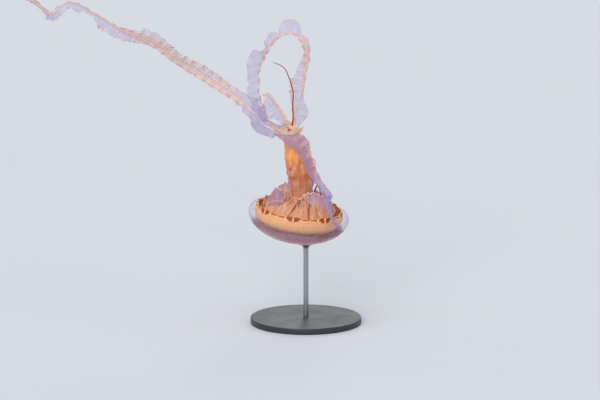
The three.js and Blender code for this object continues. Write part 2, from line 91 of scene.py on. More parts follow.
class SeaNettleColours(bpy.types.PropertyGroup):
    """Colours of the animal and of its stand."""

    jelly: colour_of("Jelly", "Clear shell of the bell", "#AC7E9C")
    jelly_top: colour_of("Jelly, top", "Clear shell at the top of the bell", "#D9857F")
    # Painted highlight, in part: the clear shell's colour where it is seen edge on; it is also the
    # clear wall's own colour and the milky lip's.
    jelly_clear_and_edge_highlight: colour_of("Jelly edge", "Clear shell where it is seen edge on", "#B7A5D0")
    # Painted highlight: the edge-on colour of the thick top of the bell.
    jelly_thick_edge_highlight: colour_of("Jelly edge, top", "The same at the top of the bell", "#DFB0A8")
    streak: colour_of("Streak", "Streaks down from the top of the bell", "#AC5C60")
    cream: colour_of("Cream", "Inner body", "#F0B479")
    cream_dark: colour_of("Cream shade", "Shaded bands of the inner body", "#DE9768")
    # Painted light: a lighter cream laid on the inner body's underside, where it would be in shade.
    cream_underside_painted_light: colour_of("Cream, low", "Lightest coats, low on the inner body", "#FFDDA6")
    mark: colour_of("Mark", "Marks on the lappets", "#BC5C10")
    mark_dark: colour_of("Mark shade", "Middle of each mark", "#86360C")
    peach: colour_of("Peach", "Folds round the mouth", "#C98D66")
    sheet: colour_of("Sheet", "Thin sheets that stand on the folds", "#E6B29C")
    sheet_white: colour_of("Sheet, white", "Edge of the palest sheets", "#FFF4EA")
    mauve: colour_of("Mauve", "Shaded folds and sheets", "#C0A6C6")
    flesh_low: colour_of("Flesh, low", "Stem near the mouth", "#C07A56")
    flesh: colour_of("Flesh", "Middle of the stem", "#CC7C4E")
    flesh_glow: colour_of("Flesh, bright", "Bright patch on the stem", "#E39A55")
    flesh_ruddy: colour_of("Flesh, ruddy", "Ruddy patches on the stem", "#B85A38")
    crown: colour_of("Crown", "Top of the stem", "#EEC9B0")
    core: colour_of("Core", "Middle of the crown", "#B23C1A")
    film: colour_of("Film", "Membranes of the arms", "#A892C2")
    violet: colour_of("Violet", "Thick parts of the membranes", "#9583BA")
    veil: colour_of("Veil", "Membrane of the near arm", "#9585B8")
    veil_deep: colour_of("Veil, thick", "Thick parts of that membrane", "#B88A9E")
    rib: colour_of("Rib", "Ribs of the arms", "#CBA09A")
    frill: colour_of("Frill", "Frilled edges of the arms", "#E8CDC8")
    strand: colour_of("Strand", "Curled strands on the arms", "#F8D6C6")
    strand_pale: colour_of("Strand, pale", "Palest parts of the strands", "#FFE9DE")
    tentacle: colour_of("Tentacle", "Tentacles", "#7A2418")
    tentacle_bright: colour_of("Tentacle, bright", "Tentacle roots and tips", "#B9432B")
    base: colour_of("Base", "Painted base", "#212429")
    base_light: colour_of("Base, light", "Clouds in the base's paint", "#2E3238")
    steel: colour_of("Steel", "Rod and its saucer", "#B4B8BD")
    steel_dark: colour_of("Steel, dark", "Brush marks on the rod", "#8F949A")
    floor: colour_of("Floor", "Floor of the studio", "#CFD2D7")
    floor_dark: colour_of("Floor, dark", "Clouds in the floor's paint", "#CBCED4")
    daylight: colour_of("Daylight", "Even light of the studio", "#E6E9EE")


def sizes():
    return bpy.context.scene.sea_nettle_sizes


def colours():
    return bpy.context.scene.sea_nettle_colours


# ---- Where the animal hangs -------------------------------------------------------------

# Millimetres and degrees, the same as in the solids.
BELL_CENTRE = (-14.4, 8.7, 218.2)
LEAN_RIGHT = 6.7
LEAN_FRONT = 4.1
LEAN = (Matrix.Rotation(math.radians(LEAN_FRONT), 3, "X")
        @ Matrix.Rotation(math.radians(LEAN_RIGHT), 3, "Y"))
OCTANTS = 8
RIM_TURN = math.radians(-8.5)


def placed(points):
    """Takes points about the bell's own axis, in millimetres, to the stand, in metres."""
    return (np.asarray(points) @ np.array(LEAN).T + np.array(BELL_CENTRE)) * MM


# ---- Meshes -----------------------------------------------------------------------------

MERGE_DISTANCE = 1e-6
WALL_LEVELS = 20


def grid_mesh(name, along, across, place, uv, fields, closed=False):
    """A grid laid over a form: place(u, v) gives each corner, with u and v from 0 to 1.

    uv(u, v) gives the surface's own map, in metres, and fields names numbers kept on the
    corners. A closed grid is joined where its edges meet.
    """
    bm = bmesh.new()
    bmesh.ops.create_grid(bm, x_segments=along, y_segments=across, size=0.5)
    mesh = bpy.data.meshes.new(name)
    bm.to_mesh(mesh)
    flat = np.empty(len(mesh.vertices) * 3)
    mesh.vertices.foreach_get("co", flat)
    u = flat[0::3] + 0.5
    v = flat[1::3] + 0.5
    points = np.asarray(place(u, v), dtype=float)
    mesh.vertices.foreach_set("co", points.ravel())
    corners = np.empty(len(mesh.loops), dtype=int)
    mesh.loops.foreach_get("vertex_index", corners)
    flow = np.stack(uv(u, v), axis=1)
    layer = mesh.uv_layers.new(name="Flow")
    layer.data.foreach_set("uv", flow[corners].ravel())
    for field, values in fields.items():
        kept = mesh.attributes.new(field, "FLOAT", "POINT")
        kept.data.foreach_set("value", np.broadcast_to(values(u, v), u.shape).astype(float))
    bm.clear()
    bm.from_mesh(mesh)
    if closed:
        bmesh.ops.remove_doubles(bm, verts=bm.verts, dist=MERGE_DISTANCE)
        bmesh.ops.holes_fill(bm, edges=[e for e in bm.edges if e.is_boundary], sides=0)
        bmesh.ops.recalc_face_normals(bm, faces=bm.faces)
    bm.to_mesh(mesh)
    bm.free()
    return mesh


def piece(name, mesh, material, replaced=()):
    """Puts a mesh in the scene as a smooth piece of the animal or its stand."""
    made = bpy.data.objects.new(name, mesh)
    bpy.context.scene.collection.objects.link(made)
    mesh.materials.append(material)
    mesh.shade_smooth()
    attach(made, BODY)
    if replaced:
        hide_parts(*replaced)
    return made


def walled(made, thickness, field=None):
    """Gives an open sheet a wall, thinner where the vertex group of that name is low."""
    wall = made.modifiers.new("Wall", "SOLIDIFY")
    wall.thickness = thickness
    wall.offset = 0.0
    wall.use_rim = True
    if field:
        group = made.vertex_groups.new(name=field)
        values = np.empty(len(made.data.vertices))
        made.data.attributes[field].data.foreach_get("value", values)
        for level in range(WALL_LEVELS + 1):
            corners = np.flatnonzero(np.round(values * WALL_LEVELS) == level)
            group.add(corners.tolist(), level / WALL_LEVELS, "REPLACE")
        wall.vertex_group = field
        wall.thickness_vertex_group = 0.0
    return made


# ---- Curves and waves -------------------------------------------------------------------

STEPS_PER_KNOT = 24
TANGENT_STEP = 0.02
WAVE_PARTS = 4


def smooth_path(knots, place):
    """Points of the smooth curve through the knots; place counts them and may be partial."""
    knots = np.asarray(knots, dtype=float)
    padded = np.vstack([2 * knots[0] - knots[1], knots, 2 * knots[-1] - knots[-2]])
    low = np.clip(np.floor(place).astype(int), 0, len(knots) - 2)
    t = (place - low)[:, None]
    p0, p1, p2, p3 = (padded[low + i] for i in range(4))
    d0, d1, d2 = (np.linalg.norm(b - a, axis=1)[:, None] ** 0.5
                  for a, b in ((p0, p1), (p1, p2), (p2, p3)))
    m1 = ((p1 - p0) / d0 - (p2 - p0) / (d0 + d1) + (p2 - p1) / d1) * d1
    m2 = ((p2 - p1) / d1 - (p3 - p1) / (d1 + d2) + (p3 - p2) / d2) * d1
    square = t * t
    cube = square * t
    return (p1 + m1 * t + (3 * (p2 - p1) - 2 * m1 - m2) * square
            + (2 * (p1 - p2) + m1 + m2) * cube)


def between(k, values):
    """Values kept at the knots, read at a place between them."""
    return np.interp(k, np.arange(len(values)), values)


def unit(vectors):
    return vectors / np.maximum(np.linalg.norm(vectors, axis=-1, keepdims=True), 1e-9)


def smoothstep(x, low, high):
    t = np.clip((x - low) / (high - low), 0, 1)
    return t * t * (3 - 2 * t)


def near(x, place, width):
    """A swelling about a place, from 0 far from it to 1."""
    return np.exp(-((x - place) / width) ** 2)


def waves(x, length, seed):
    """A wandering wave along x, mostly of one length, from about -1 to 1."""
    draw = np.random.default_rng(seed)
    total = np.zeros_like(x)
    for _ in range(WAVE_PARTS):
        stretch = 1 + 0.35 * draw.uniform(-1, 1)
        total += np.sin(2 * np.pi * (x / (length * stretch) + draw.uniform()))
    return total / WAVE_PARTS ** 0.6


def ring_waves(u, count, seed):
    """The same round a closed ring, with about that many waves as u goes from 0 to 1."""
    draw = np.random.default_rng(seed)
    total = np.zeros_like(u)
    for _ in range(WAVE_PARTS):
        number = round(count * (1 + 0.3 * draw.uniform(-1, 1)))
        total += np.sin(2 * np.pi * (number * u + draw.uniform()))
    return total / WAVE_PARTS ** 0.6


class Path:
    """A smooth curve through knots, with its length measured in millimetres.

    A place on it counts the knots, and a distance is measured along it.
    """

    def __init__(self, knots):
        self.knots = np.asarray(knots, dtype=float)
        self.last = len(self.knots) - 1
        self.places = np.linspace(0, self.last, self.last * STEPS_PER_KNOT + 1)
        points = smooth_path(self.knots, self.places)
        steps = np.linalg.norm(np.diff(points, axis=0), axis=1)
        self.lengths = np.concatenate([[0], np.cumsum(steps)])
        self.length = self.lengths[-1]

    def place_at(self, distance):
        return np.interp(distance, self.lengths, self.places)

    def point(self, place):
        return smooth_path(self.knots, np.clip(place, 0, self.last))

    def tangent(self, place):
        return unit(self.point(place + TANGENT_STEP) - self.point(place - TANGENT_STEP))


# ---- Finishes ---------------------------------------------------------------------------

SILICONE_IOR = 1.41


def feed(made, inputs):
    """Sets a node's inputs, by name or in order, to a value or to another node's result."""
    if isinstance(inputs, dict):
        pairs = [(made.inputs[name], value) for name, value in inputs.items()]
    else:
        pairs = zip([socket for socket in made.inputs if socket.enabled], inputs)
    for socket, value in pairs:
        if isinstance(value, bpy.types.Node):
            value = next(out for out in value.outputs if out.enabled)
        if isinstance(value, bpy.types.NodeSocket):
            made.id_data.links.new(value, socket)
        else:
            socket.default_value = value
    return made


def node(tree, kind, inputs=(), **settings):
    """Adds a shader node with its settings and its inputs."""
    made = tree.nodes.new("ShaderNode" + kind)
    for setting, value in settings.items():
        setattr(made, setting, value)
    return feed(made, inputs)


def new_finish(name, fields="", **settings):
    """A material, its tree, its shader and the fields of that name, read from the corners.

    The shader's sockets take the settings.
    """
    material = bpy.data.materials.new(name)
    material.use_nodes = True
    tree = material.node_tree
    shader = feed(tree.nodes["Principled BSDF"],
                  {socket.replace("_", " "): value for socket, value in settings.items()})
    read = {field: node(tree, "Attribute", attribute_name=field).outputs["Fac"]
            for field in fields.split()}
    return material, tree, shader, SimpleNamespace(**read)


def shared(name, make):
    """A finish that several pieces share: it is made once and then found by its label."""
    for material in bpy.data.materials:
        if material.get("label") == name:
            return material
    made = make()
    made["label"] = name
    return made


def clear_silicone():
    """Silicone rubber, clear, cast in one piece.

    It is glossy and nearly colourless over the cream body, mauve where it is thick at the
    top of the bell, and milky along the lip. Wherever the wall is seen edge on it is less
    clear and carries a painted highlight, a paler colour that follows the angle of view.
    """
    c = colours()
    material, tree, shader, f = new_finish(
        "Silicone rubber, clear, cast", "dense lip wall",
        Roughness=0.25, IOR=SILICONE_IOR, Specular_IOR_Level=0.1)
    flow = node(tree, "SeparateXYZ", [node(tree, "UVMap", uv_map="Flow")])
    round_bell = flow.outputs["X"]
    down_bell = flow.outputs["Y"]
    # A streak is about 8 mm wide at the widest circle and runs down the bell.
    turn = node(tree, "Math", (round_bell, 2 * math.pi), operation="MULTIPLY")
    east = node(tree, "Math", [turn], operation="COSINE")
    north = node(tree, "Math", [turn], operation="SINE")
    circle = node(tree, "CombineXYZ", (east, north))
    across = node(tree, "VectorMath", (circle, 13.0), operation="SCALE")
    down = node(tree, "Math", (down_bell, 34.0), operation="MULTIPLY")
    drop = node(tree, "CombineXYZ", {"Z": down})
    where = node(tree, "VectorMath", (across, drop))
    streaks = node(tree, "TexNoise", (where, 1.0, 3.0))
    from_top = node(tree, "MapRange", (down_bell, 0.012, 0.05))
    streaky = node(tree, "MapRange", (streaks, 0.47, 0.66, 0.0, from_top))
    reddish = node(tree, "Math", (streaky, f.dense), operation="MULTIPLY")
    down_side = node(tree, "MapRange", (down_bell, 0.05, 0.095))
    mass = node(tree, "Mix", (down_side, c.jelly_top, c.jelly), data_type="RGBA")
    zone = node(tree, "Mix", (f.dense, c.jelly_clear_and_edge_highlight, mass), data_type="RGBA")
    tinted = node(tree, "Mix", (reddish, zone, c.streak), data_type="RGBA")
    # Painted highlight: where the wall is seen edge on its colour turns paler, and it is less clear
    # there; along the lip the paleness is the jelly's own milky margin.
    grazing = node(tree, "LayerWeight", [0.28]).outputs["Facing"]
    rim = node(tree, "MapRange", (grazing, 0.25, 0.95))
    milky = node(tree, "Math", (rim, f.lip), operation="MAXIMUM")
    pale = node(tree, "Mix", (f.dense, c.jelly_clear_and_edge_highlight, c.jelly_thick_edge_highlight), data_type="RGBA")
    colour = node(tree, "Mix", (milky, tinted, pale), data_type="RGBA")
    filled = node(tree, "Math", (f.dense, 0.74, 0.07), operation="MULTIPLY_ADD")
    veil = node(tree, "Math", (reddish, 0.22, filled), operation="MULTIPLY_ADD")
    edge = node(tree, "Math", (milky, 0.5, veil), operation="MULTIPLY_ADD")
    alpha = node(tree, "Math", (edge, f.wall), operation="MULTIPLY", use_clamp=True)
    feed(shader, {"Base Color": colour, "Alpha": alpha})
    return material


def cream_silicone():
    """Silicone rubber, cream, brushed into the mould in coats.

    It is satin and a little blotchy, with faint lines from the middle to the margin, and
    low down it carries painted light that lifts the underside where it would be in shade;
    each lappet carries a brown mark with a ragged edge.
    """
    c = colours()
    material, tree, shader, f = new_finish(
        "Silicone rubber, cream, brushed in", "line low under mark",
        Roughness=0.42, IOR=SILICONE_IOR, Subsurface_Weight=0.4, Subsurface_Scale=0.012)
    place = node(tree, "TexCoord").outputs["Object"]
    # Blotches about 25 mm across and a skin grain of about 2 mm.
    blotch = node(tree, "TexNoise", (place, 40.0, 3.0))
    grain = node(tree, "TexNoise", (place, 480.0, 2.0))
    shade = node(tree, "Math", (blotch, f.line), operation="MULTIPLY")
    shaded = node(tree, "MapRange", (shade, 0.16, 0.46, 0.0, 0.65))
    coats = node(tree, "Mix", (shaded, c.cream, c.cream_dark), data_type="RGBA")
    # Painted light: the underside low on the body is lifted towards a lighter cream, where it would
    # be in shade.
    lifted = node(tree, "Mix", (f.under, coats, c.cream_underside_painted_light), data_type="RGBA")
    base = node(tree, "Mix", (f.low, lifted, c.jelly), data_type="RGBA")
    ragged = node(tree, "Math", (grain, 0.3, f.mark), operation="MULTIPLY_ADD")
    marked = node(tree, "MapRange", (ragged, 0.58, 0.7))
    middle = node(tree, "MapRange", (ragged, 0.8, 1.15, 0.0, 0.7))
    brown = node(tree, "Mix", (middle, c.mark, c.mark_dark), data_type="RGBA")
    colour = node(tree, "Mix", (marked, base, brown), data_type="RGBA")
    bump = node(tree, "Bump", {"Height": grain, "Strength": 0.25, "Distance": 0.0006})
    feed(shader, {"Base Color": colour, "Normal": bump})
    return material


def fold_silicone(name, deep, pale, low_alpha, high_alpha, far=None):
    """Silicone rubber, tinted, poured thin and gathered while soft.

    It is satin and lets light through: where the field "tint" is low it takes the first
    colour, along the free edge the second, and as "tint" rises it turns towards mauve or the
    far colour; on the mound that field is painted shade, highest in the troughs of the folds.
    """
    material, tree, shader, f = new_finish(
        name, "tint edge", Roughness=0.38, IOR=SILICONE_IOR, Subsurface_Weight=0.4,
        Subsurface_Scale=0.005)
    place = node(tree, "TexCoord").outputs["Object"]
    flow = node(tree, "UVMap", uv_map="Flow")
    # Wrinkles run from the foot to the free edge, about 3 mm apart.
    stretched = node(tree, "Mapping", {"Vector": flow, "Scale": (330.0, 40.0, 1.0)})
    wrinkles = node(tree, "TexNoise",
                    {"Vector": stretched, "Scale": 1.0, "Detail": 3.0, "Distortion": 0.6})
    # Clouds about 18 mm across.
    cloud = node(tree, "TexNoise", (place, 55.0, 3.0))
    mixed = node(tree, "Math", (cloud, 0.7, f.tint), operation="MULTIPLY_ADD")
    turned_far = node(tree, "MapRange", (mixed, 0.35, 1.25))
    body = node(tree, "Mix", (turned_far, deep, far or colours().mauve), data_type="RGBA")
    lines = node(tree, "MapRange", (wrinkles, 0.5, 0.72, 0.0, 0.45))
    light = node(tree, "Math", (lines, f.edge), operation="MAXIMUM")
    colour = node(tree, "Mix", (light, body, pale), data_type="RGBA")
    alpha = node(tree, "MapRange", {"Value": light, "To Min": low_alpha, "To Max": high_alpha})
    bump = node(tree, "Bump", {"Height": wrinkles, "Strength": 0.35, "Distance": 0.0008})
    feed(shader, {"Base Color": colour, "Alpha": alpha, "Normal": bump})
    return material


def stem_silicone():
    """Silicone rubber, orange, built up in tinted coats over the stem.

    It is satin, with soft bands of colour from brown-orange near the mouth to a bright
    patch high up, lengthwise streaks and a few pale specks.
    """
    c = colours()
    material, tree, shader, f = new_finish(
        "Silicone rubber, orange, in coats", "glow high tint speck ruddy cap core",
        Roughness=0.4, IOR=SILICONE_IOR, Subsurface_Weight=0.45, Subsurface_Scale=0.008)
    place = node(tree, "TexCoord").outputs["Object"]
    flow = node(tree, "UVMap", uv_map="Flow")
    # Clouds about 17 mm across, and streaks about 3 mm wide that run along the stem.
    cloud = node(tree, "TexNoise", (place, 60.0, 4.0))
    stretched = node(tree, "Mapping", {"Vector": flow, "Scale": (35.0, 300.0, 1.0)})
    streaks = node(tree, "TexNoise", (stretched, 1.0, 3.0))
    rising = node(tree, "Math", (streaks, 0.5, f.high), operation="MULTIPLY_ADD")
    lifted = node(tree, "MapRange", (rising, 0.3, 1.0))
    flesh = node(tree, "Mix", (lifted, c.flesh_low, c.flesh), data_type="RGBA")
    blotchy = node(tree, "MapRange", (cloud, 0.45, 0.75, 0.0, 0.35))
    mottled = node(tree, "Mix", (blotchy, flesh, c.crown), data_type="RGBA")
    warm = node(tree, "Math", (f.ruddy, 0.7), operation="MULTIPLY", use_clamp=True)
    reddened = node(tree, "Mix", (warm, mottled, c.flesh_ruddy), data_type="RGBA")
    patch = node(tree, "Math", (cloud, 0.8, f.glow), operation="MULTIPLY_ADD")
    bright = node(tree, "MapRange", (patch, 0.62, 1.15))
    lit = node(tree, "Mix", (bright, reddened, c.flesh_glow), data_type="RGBA")
    veiled = node(tree, "Mix", (f.tint, lit, c.mauve), data_type="RGBA")
    topped = node(tree, "Mix", (f.cap, veiled, c.crown), data_type="RGBA")
    heart = node(tree, "Math", (streaks, 0.8, f.core), operation="MULTIPLY_ADD")
    red = node(tree, "MapRange", (heart, 0.75, 1.2))
    crowned = node(tree, "Mix", (red, topped, c.core), data_type="RGBA")
    # Specks 2 to 4 mm across, about 6 mm apart.
    cells = node(tree, "TexVoronoi", {"Vector": place, "Scale": 170.0, "Randomness": 1.0})
    near = node(tree, "MapRange", (cells, 0.42, 0.16))
    speck = node(tree, "Math", (near, f.speck), operation="MULTIPLY")
    colour = node(tree, "Mix", (speck, crowned, c.crown), data_type="RGBA")
    bump = node(tree, "Bump", {"Height": streaks, "Strength": 0.3, "Distance": 0.0012})
    feed(shader, {"Base Color": colour, "Normal": bump})
    return material


def film_silicone(name, film, deep, film_alpha, deep_alpha, edge_alpha, threaded):
    """Silicone rubber film, poured on glass and peeled off.

    It is glossy and see-through, with milky threads from the rib to the edge. It is
    thicker and deeper in colour where the field "dense" says, and opaque along the
    fleshy, streaky rib and the frilled edge.
    """
    c = colours()
    material, tree, shader, f = new_finish(
        name, "ladder dense edge rib root", Roughness=0.3, IOR=SILICONE_IOR)
    flow = node(tree, "UVMap", uv_map="Flow")
    # Threads about 4 mm apart, crossing the film from the rib to its edge.
    stretched = node(tree, "Mapping", {"Vector": flow, "Scale": (260.0, 22.0, 1.0)})
    threads = node(tree, "TexNoise",
                   {"Vector": stretched, "Scale": 1.0, "Detail": 3.0, "Distortion": 0.5})
    thread = node(tree, "MapRange", (threads, 0.52, 0.68))
    # Strands about 1.7 mm wide, lengthwise in the rib.
    drawn = node(tree, "Mapping", {"Vector": flow, "Scale": (30.0, 600.0, 1.0)})
    strands = node(tree, "TexNoise", (drawn, 1.0, 2.0))
    # The threads show in patches about 28 mm across.
    loose = node(tree, "Mapping", {"Vector": flow, "Scale": (36.0, 36.0, 1.0)})
    cloud = node(tree, "TexNoise", (loose, 1.0, 3.0))
    patchy = node(tree, "MapRange", (cloud, 0.35, 0.7, 0.1 * threaded, 0.8 * threaded))
    rungs = node(tree, "Math", (patchy, f.ladder), operation="MAXIMUM")
    milky = node(tree, "Math", (thread, rungs), operation="MULTIPLY")
    light = node(tree, "Math", (milky, f.edge), operation="MAXIMUM")
    sheet = node(tree, "Mix", (f.dense, film, deep), data_type="RGBA")
    skin = node(tree, "Mix", (light, sheet, c.frill), data_type="RGBA")
    spread = node(tree, "Math", (strands, 0.6, f.rib), operation="MULTIPLY_ADD")
    ribbed = node(tree, "MapRange", (spread, 0.42, 1.05))
    drawn_flesh = node(tree, "Mix", (strands, c.rib, c.frill), data_type="RGBA")
    flesh = node(tree, "Mix", (f.root, drawn_flesh, c.crown), data_type="RGBA")
    colour = node(tree, "Mix", (ribbed, skin, flesh), data_type="RGBA")
    base = node(tree, "Math", (f.dense, deep_alpha - film_alpha, film_alpha),
                operation="MULTIPLY_ADD")
    lined = node(tree, "Math", (milky, 0.55, base), operation="MULTIPLY_ADD")
    edged = node(tree, "Math", (f.edge, edge_alpha, lined), operation="MULTIPLY_ADD")
    alpha = node(tree, "Math", (ribbed, 0.55, edged), operation="MULTIPLY_ADD", use_clamp=True)
    bump = node(tree, "Bump", {"Height": threads, "Strength": 0.2, "Distance": 0.0005})
    feed(shader, {"Base Color": colour, "Alpha": alpha, "Normal": bump})
    return material


def tentacle_silicone():
    """Silicone rubber, maroon, drawn out as cord and curled before it set.

    It is satin and darkest in the middle of its length, with close rings across it.
    """
    c = colours()
    material, tree, shader, f = new_finish(
        "Silicone rubber, maroon, drawn", "glow", Roughness=0.36, IOR=SILICONE_IOR)
    flow = node(tree, "UVMap", uv_map="Flow")
    # The rings are about 1 mm apart on the animal, drawn at 4 mm so that they show.
    rings = node(tree, "TexWave", (flow, 80.0, 1.5, 2.0), bands_direction="X").outputs["Fac"]
    mottled = node(tree, "Math", (rings, 0.25, f.glow), operation="MULTIPLY_ADD")
    colour = node(tree, "Mix", (mottled, c.tentacle, c.tentacle_bright), data_type="RGBA",
                  clamp_factor=True)
    bump = node(tree, "Bump", {"Height": rings, "Strength": 0.4, "Distance": 0.0003})
    feed(shader, {"Base Color": colour, "Normal": bump})
    return material


def powder_coat():
    """Steel plate, black powder coat, baked.

    It is satin with the fine orange peel of baked powder, a touch smoother in places,
    where it has been handled.
    """
    c = colours()
    material, tree, shader, _ = new_finish("Steel, black powder coat", IOR=1.5)
    place = node(tree, "TexCoord").outputs["Object"]
    # The peel's dimples are about 0.8 mm apart, drawn at 1.6 mm so that they show.
    peel = node(tree, "TexNoise", (place, 620.0, 2.0))
    # Clouds about 40 mm across.
    cloud = node(tree, "TexNoise", (place, 24.0, 3.0))
    worn = node(tree, "MapRange", (cloud, 0.3, 0.7, 0.36, 0.5))
    colour = node(tree, "Mix", (cloud, c.base, c.base_light), data_type="RGBA")
    bump = node(tree, "Bump", {"Height": peel, "Strength": 0.35, "Distance": 0.0002})
    feed(shader, {"Roughness": worn, "Base Color": colour, "Normal": bump})
    return material


def brushed_steel():
    """Stainless steel rod, brushed round in a lathe.

    It is bright with fine rings across the rod, which spread its highlight lengthwise.
    """
    c = colours()
    material, tree, shader, _ = new_finish("Stainless steel, brushed", Metallic=1.0)
    place = node(tree, "TexCoord").outputs["Object"]
    # Brush marks of about 0.1 mm, drawn at 0.7 mm so that they show.
    squeezed = node(tree, "Mapping", {"Vector": place, "Scale": (60.0, 60.0, 1500.0)})
    rings = node(tree, "TexNoise", (squeezed, 1.0, 3.0))
    rough = node(tree, "MapRange", (rings, 0.3, 0.7, 0.24, 0.42))
    colour = node(tree, "Mix", (rings, c.steel, c.steel_dark), data_type="RGBA")
    bump = node(tree, "Bump", {"Height": rings, "Strength": 0.2, "Distance": 0.0001})
    feed(shader, {"Roughness": rough, "Base Color": colour, "Normal": bump})
    return material


def studio_floor():
    """Floor paint, pale, rolled on: it is matt, with only the faintest cloudiness."""
    c = colours()
    material, tree, shader, _ = new_finish("Floor paint, pale, rolled", Roughness=0.85)
    place = node(tree, "TexCoord").outputs["Object"]
    # Clouds about 700 mm across.
    cloud = node(tree, "TexNoise", (place, 1.5, 3.0))
    colour = node(tree, "Mix", (cloud, c.floor, c.floor_dark), data_type="RGBA")
    feed(shader, {"Base Color": colour})
    return material


# ---- Bell -------------------------------------------------------------------------------

LAPPETS = 4 * OCTANTS
CAVITY_RADIUS = 79.0
CAVITY_DEPTH = 24.0
BODY_RIM = 14.0
# Between the clear shell and the inner body.
CLEARANCE = 0.6
BOWL_KNOTS = 9
# Of the knots of a bowl's edge, the highest comes fourth.
EDGE_TOP = 4
ROW_PULL = 0.75
# The shell is nearly clear on the side that lies against the inner body.
INNER_WALL = 0.12


def turned(u):
    """Angle about the bell's axis, as u goes round it from 0 to 1."""
    return RIM_TURN - math.pi / 2 + 2 * math.pi * u


def around(radius, angle, height):
    return np.stack([radius * np.cos(angle), radius * np.sin(angle), height], axis=1)


def bowl_knots(radius, depth):
    angles = np.linspace(0, math.pi / 2, BOWL_KNOTS)
    return [(radius * math.sin(a), -depth * math.cos(a)) for a in angles]


def gathered(v, share):
    """Moves evenly spaced rows so that they lie closer together about a share of the whole."""
    pull = ROW_PULL / (2 * np.pi)
    table = np.linspace(0, 1, 401)
    middle = np.interp(share, table - pull * np.sin(2 * np.pi * table), table)
    return v - pull * (np.sin(2 * np.pi * (v - middle)) + np.sin(2 * np.pi * middle))


class Section(Path):
    """Half a bowl's section in radius and height: up its outside, over its edge, down inside.

    The rows lie closest together at the top of the edge.
    """

    def __init__(self, outside, edge, inside):
        super().__init__([(r, 0, z) for r, z in outside + edge + inside])
        self.to_edge = Path([(r, 0, z) for r, z in outside + edge[:EDGE_TOP]]).length

    def far(self, v):
        """How far along the section a row lies."""
        return gathered(v, self.to_edge / self.length) * self.length

    def at(self, v):
        """Radius and height of a row, and how far along the section it lies."""
        far = self.far(v)
        points = self.point(self.place_at(far))
        return points[:, 0], points[:, 2], far

    def flow(self, u, v):
        """The bowl's own map: round it from 0 to 1, and along its section in metres."""
        return u, self.far(v) * MM


def lappet_bulge(u):
    """How far a lappet stands out, 0 in the clefts on both its sides and 1 between them."""
    return np.abs(np.sin(np.pi * LAPPETS * u)) ** 0.6


class SEA_NETTLE_OT_bell(bpy.types.Operator):
    """Casts the clear bell with its scalloped lip"""

    bl_idname = "sea_nettle.bell"
    bl_label = "Clear bell"

    def execute(self, context):
        s = sizes()
        radius = s.bell_radius / MM
        depth = s.bell_depth / MM
        inner_radius = s.body_radius / MM + CLEARANCE
        inner_depth = s.body_depth / MM + CLEARANCE
        lip = [(radius - 0.5, 3.0), (radius - 1.6, 6.0), (radius - 3.8, 8.4), (radius - 6.0, 9.0),
               (radius - 8.0, 8.4), (radius - 9.8, 6.0), (inner_radius + 0.2, 3.0)]
        shell = Section(bowl_knots(radius, depth), lip,
                        bowl_knots(inner_radius, inner_depth)[::-1])

        def place(u, v):
            r, z, far = shell.at(v)
            near_lip = near(far, shell.to_edge, 7.0)
            below_lip = near(far, shell.to_edge - 14, 12.0) * (far < shell.to_edge)
            # The lappets bulge, with furrows between them, and the lip sways.
            bulge = lappet_bulge(u)
            sway = 0.7 * ring_waves(u, 19, 5)
            r = r - 2.0 * bulge * near_lip + sway * near_lip - 0.9 * (1 - bulge) * below_lip
            z = z + (2.0 * bulge + 0.5 * sway) * near_lip
            z = z + 0.3 * ring_waves(u, 26, 8) * np.clip(r / radius, 0, 1) ** 3
            return placed(around(r, turned(u), z))

        def dense(u, v):
            _, z, far = shell.at(v)
            wavy = z + 1.8 * ring_waves(u, 15, 6) + 2.0 * ring_waves(u, 44, 7)
            return (1 - smoothstep(wavy, -0.54 * depth, -0.34 * depth)) * (far < shell.to_edge)

        fields = {
            "dense": dense,
            "lip": lambda u, v: 0.45 * near(shell.far(v), shell.to_edge, 1.5),
            "wall": lambda u, v: np.where(shell.far(v) <= shell.to_edge + 3, 1.0, INNER_WALL),
        }
        mesh = grid_mesh("clear_bell", along=384, across=128, place=place, uv=shell.flow,
                         fields=fields, closed=True)
        piece("clear_bell", mesh, clear_silicone(), ["bell"])
        return {"FINISHED"}


def mark_field(u, below):
    """The marks: a blunt wedge on each lappet beside a sense organ, a dash on the two between.

    The field is above 0.5 inside a mark; below is the distance from the margin's edge.
    """
    cell = u * LAPPETS
    number = np.floor(cell) % 4
    from_organ = (cell - np.floor(cell) - 0.5) * np.where(number < 2, 1.0, -1.0)
    wedge = 3.4 + 5.2 * (1 - smoothstep(from_organ, -0.2, 0.5)) + 0.6 * ring_waves(u, 90, 14)
    dash = 3.7 + 0.4 * ring_waves(u, 70, 15) - 1.2 * from_organ
    by_organ = (number == 0) | (number == 3)
    lower = 0.5 + (np.where(by_organ, wedge, dash) - below) / 2
    upper = 0.5 + (below - 0.9) / 1.2
    half = np.where(by_organ, 0.36 - np.abs(from_organ + 0.03), 0.43 - np.abs(from_organ))
    return np.clip(np.minimum(np.minimum(lower, upper), 0.5 + half * 9), 0, 1)


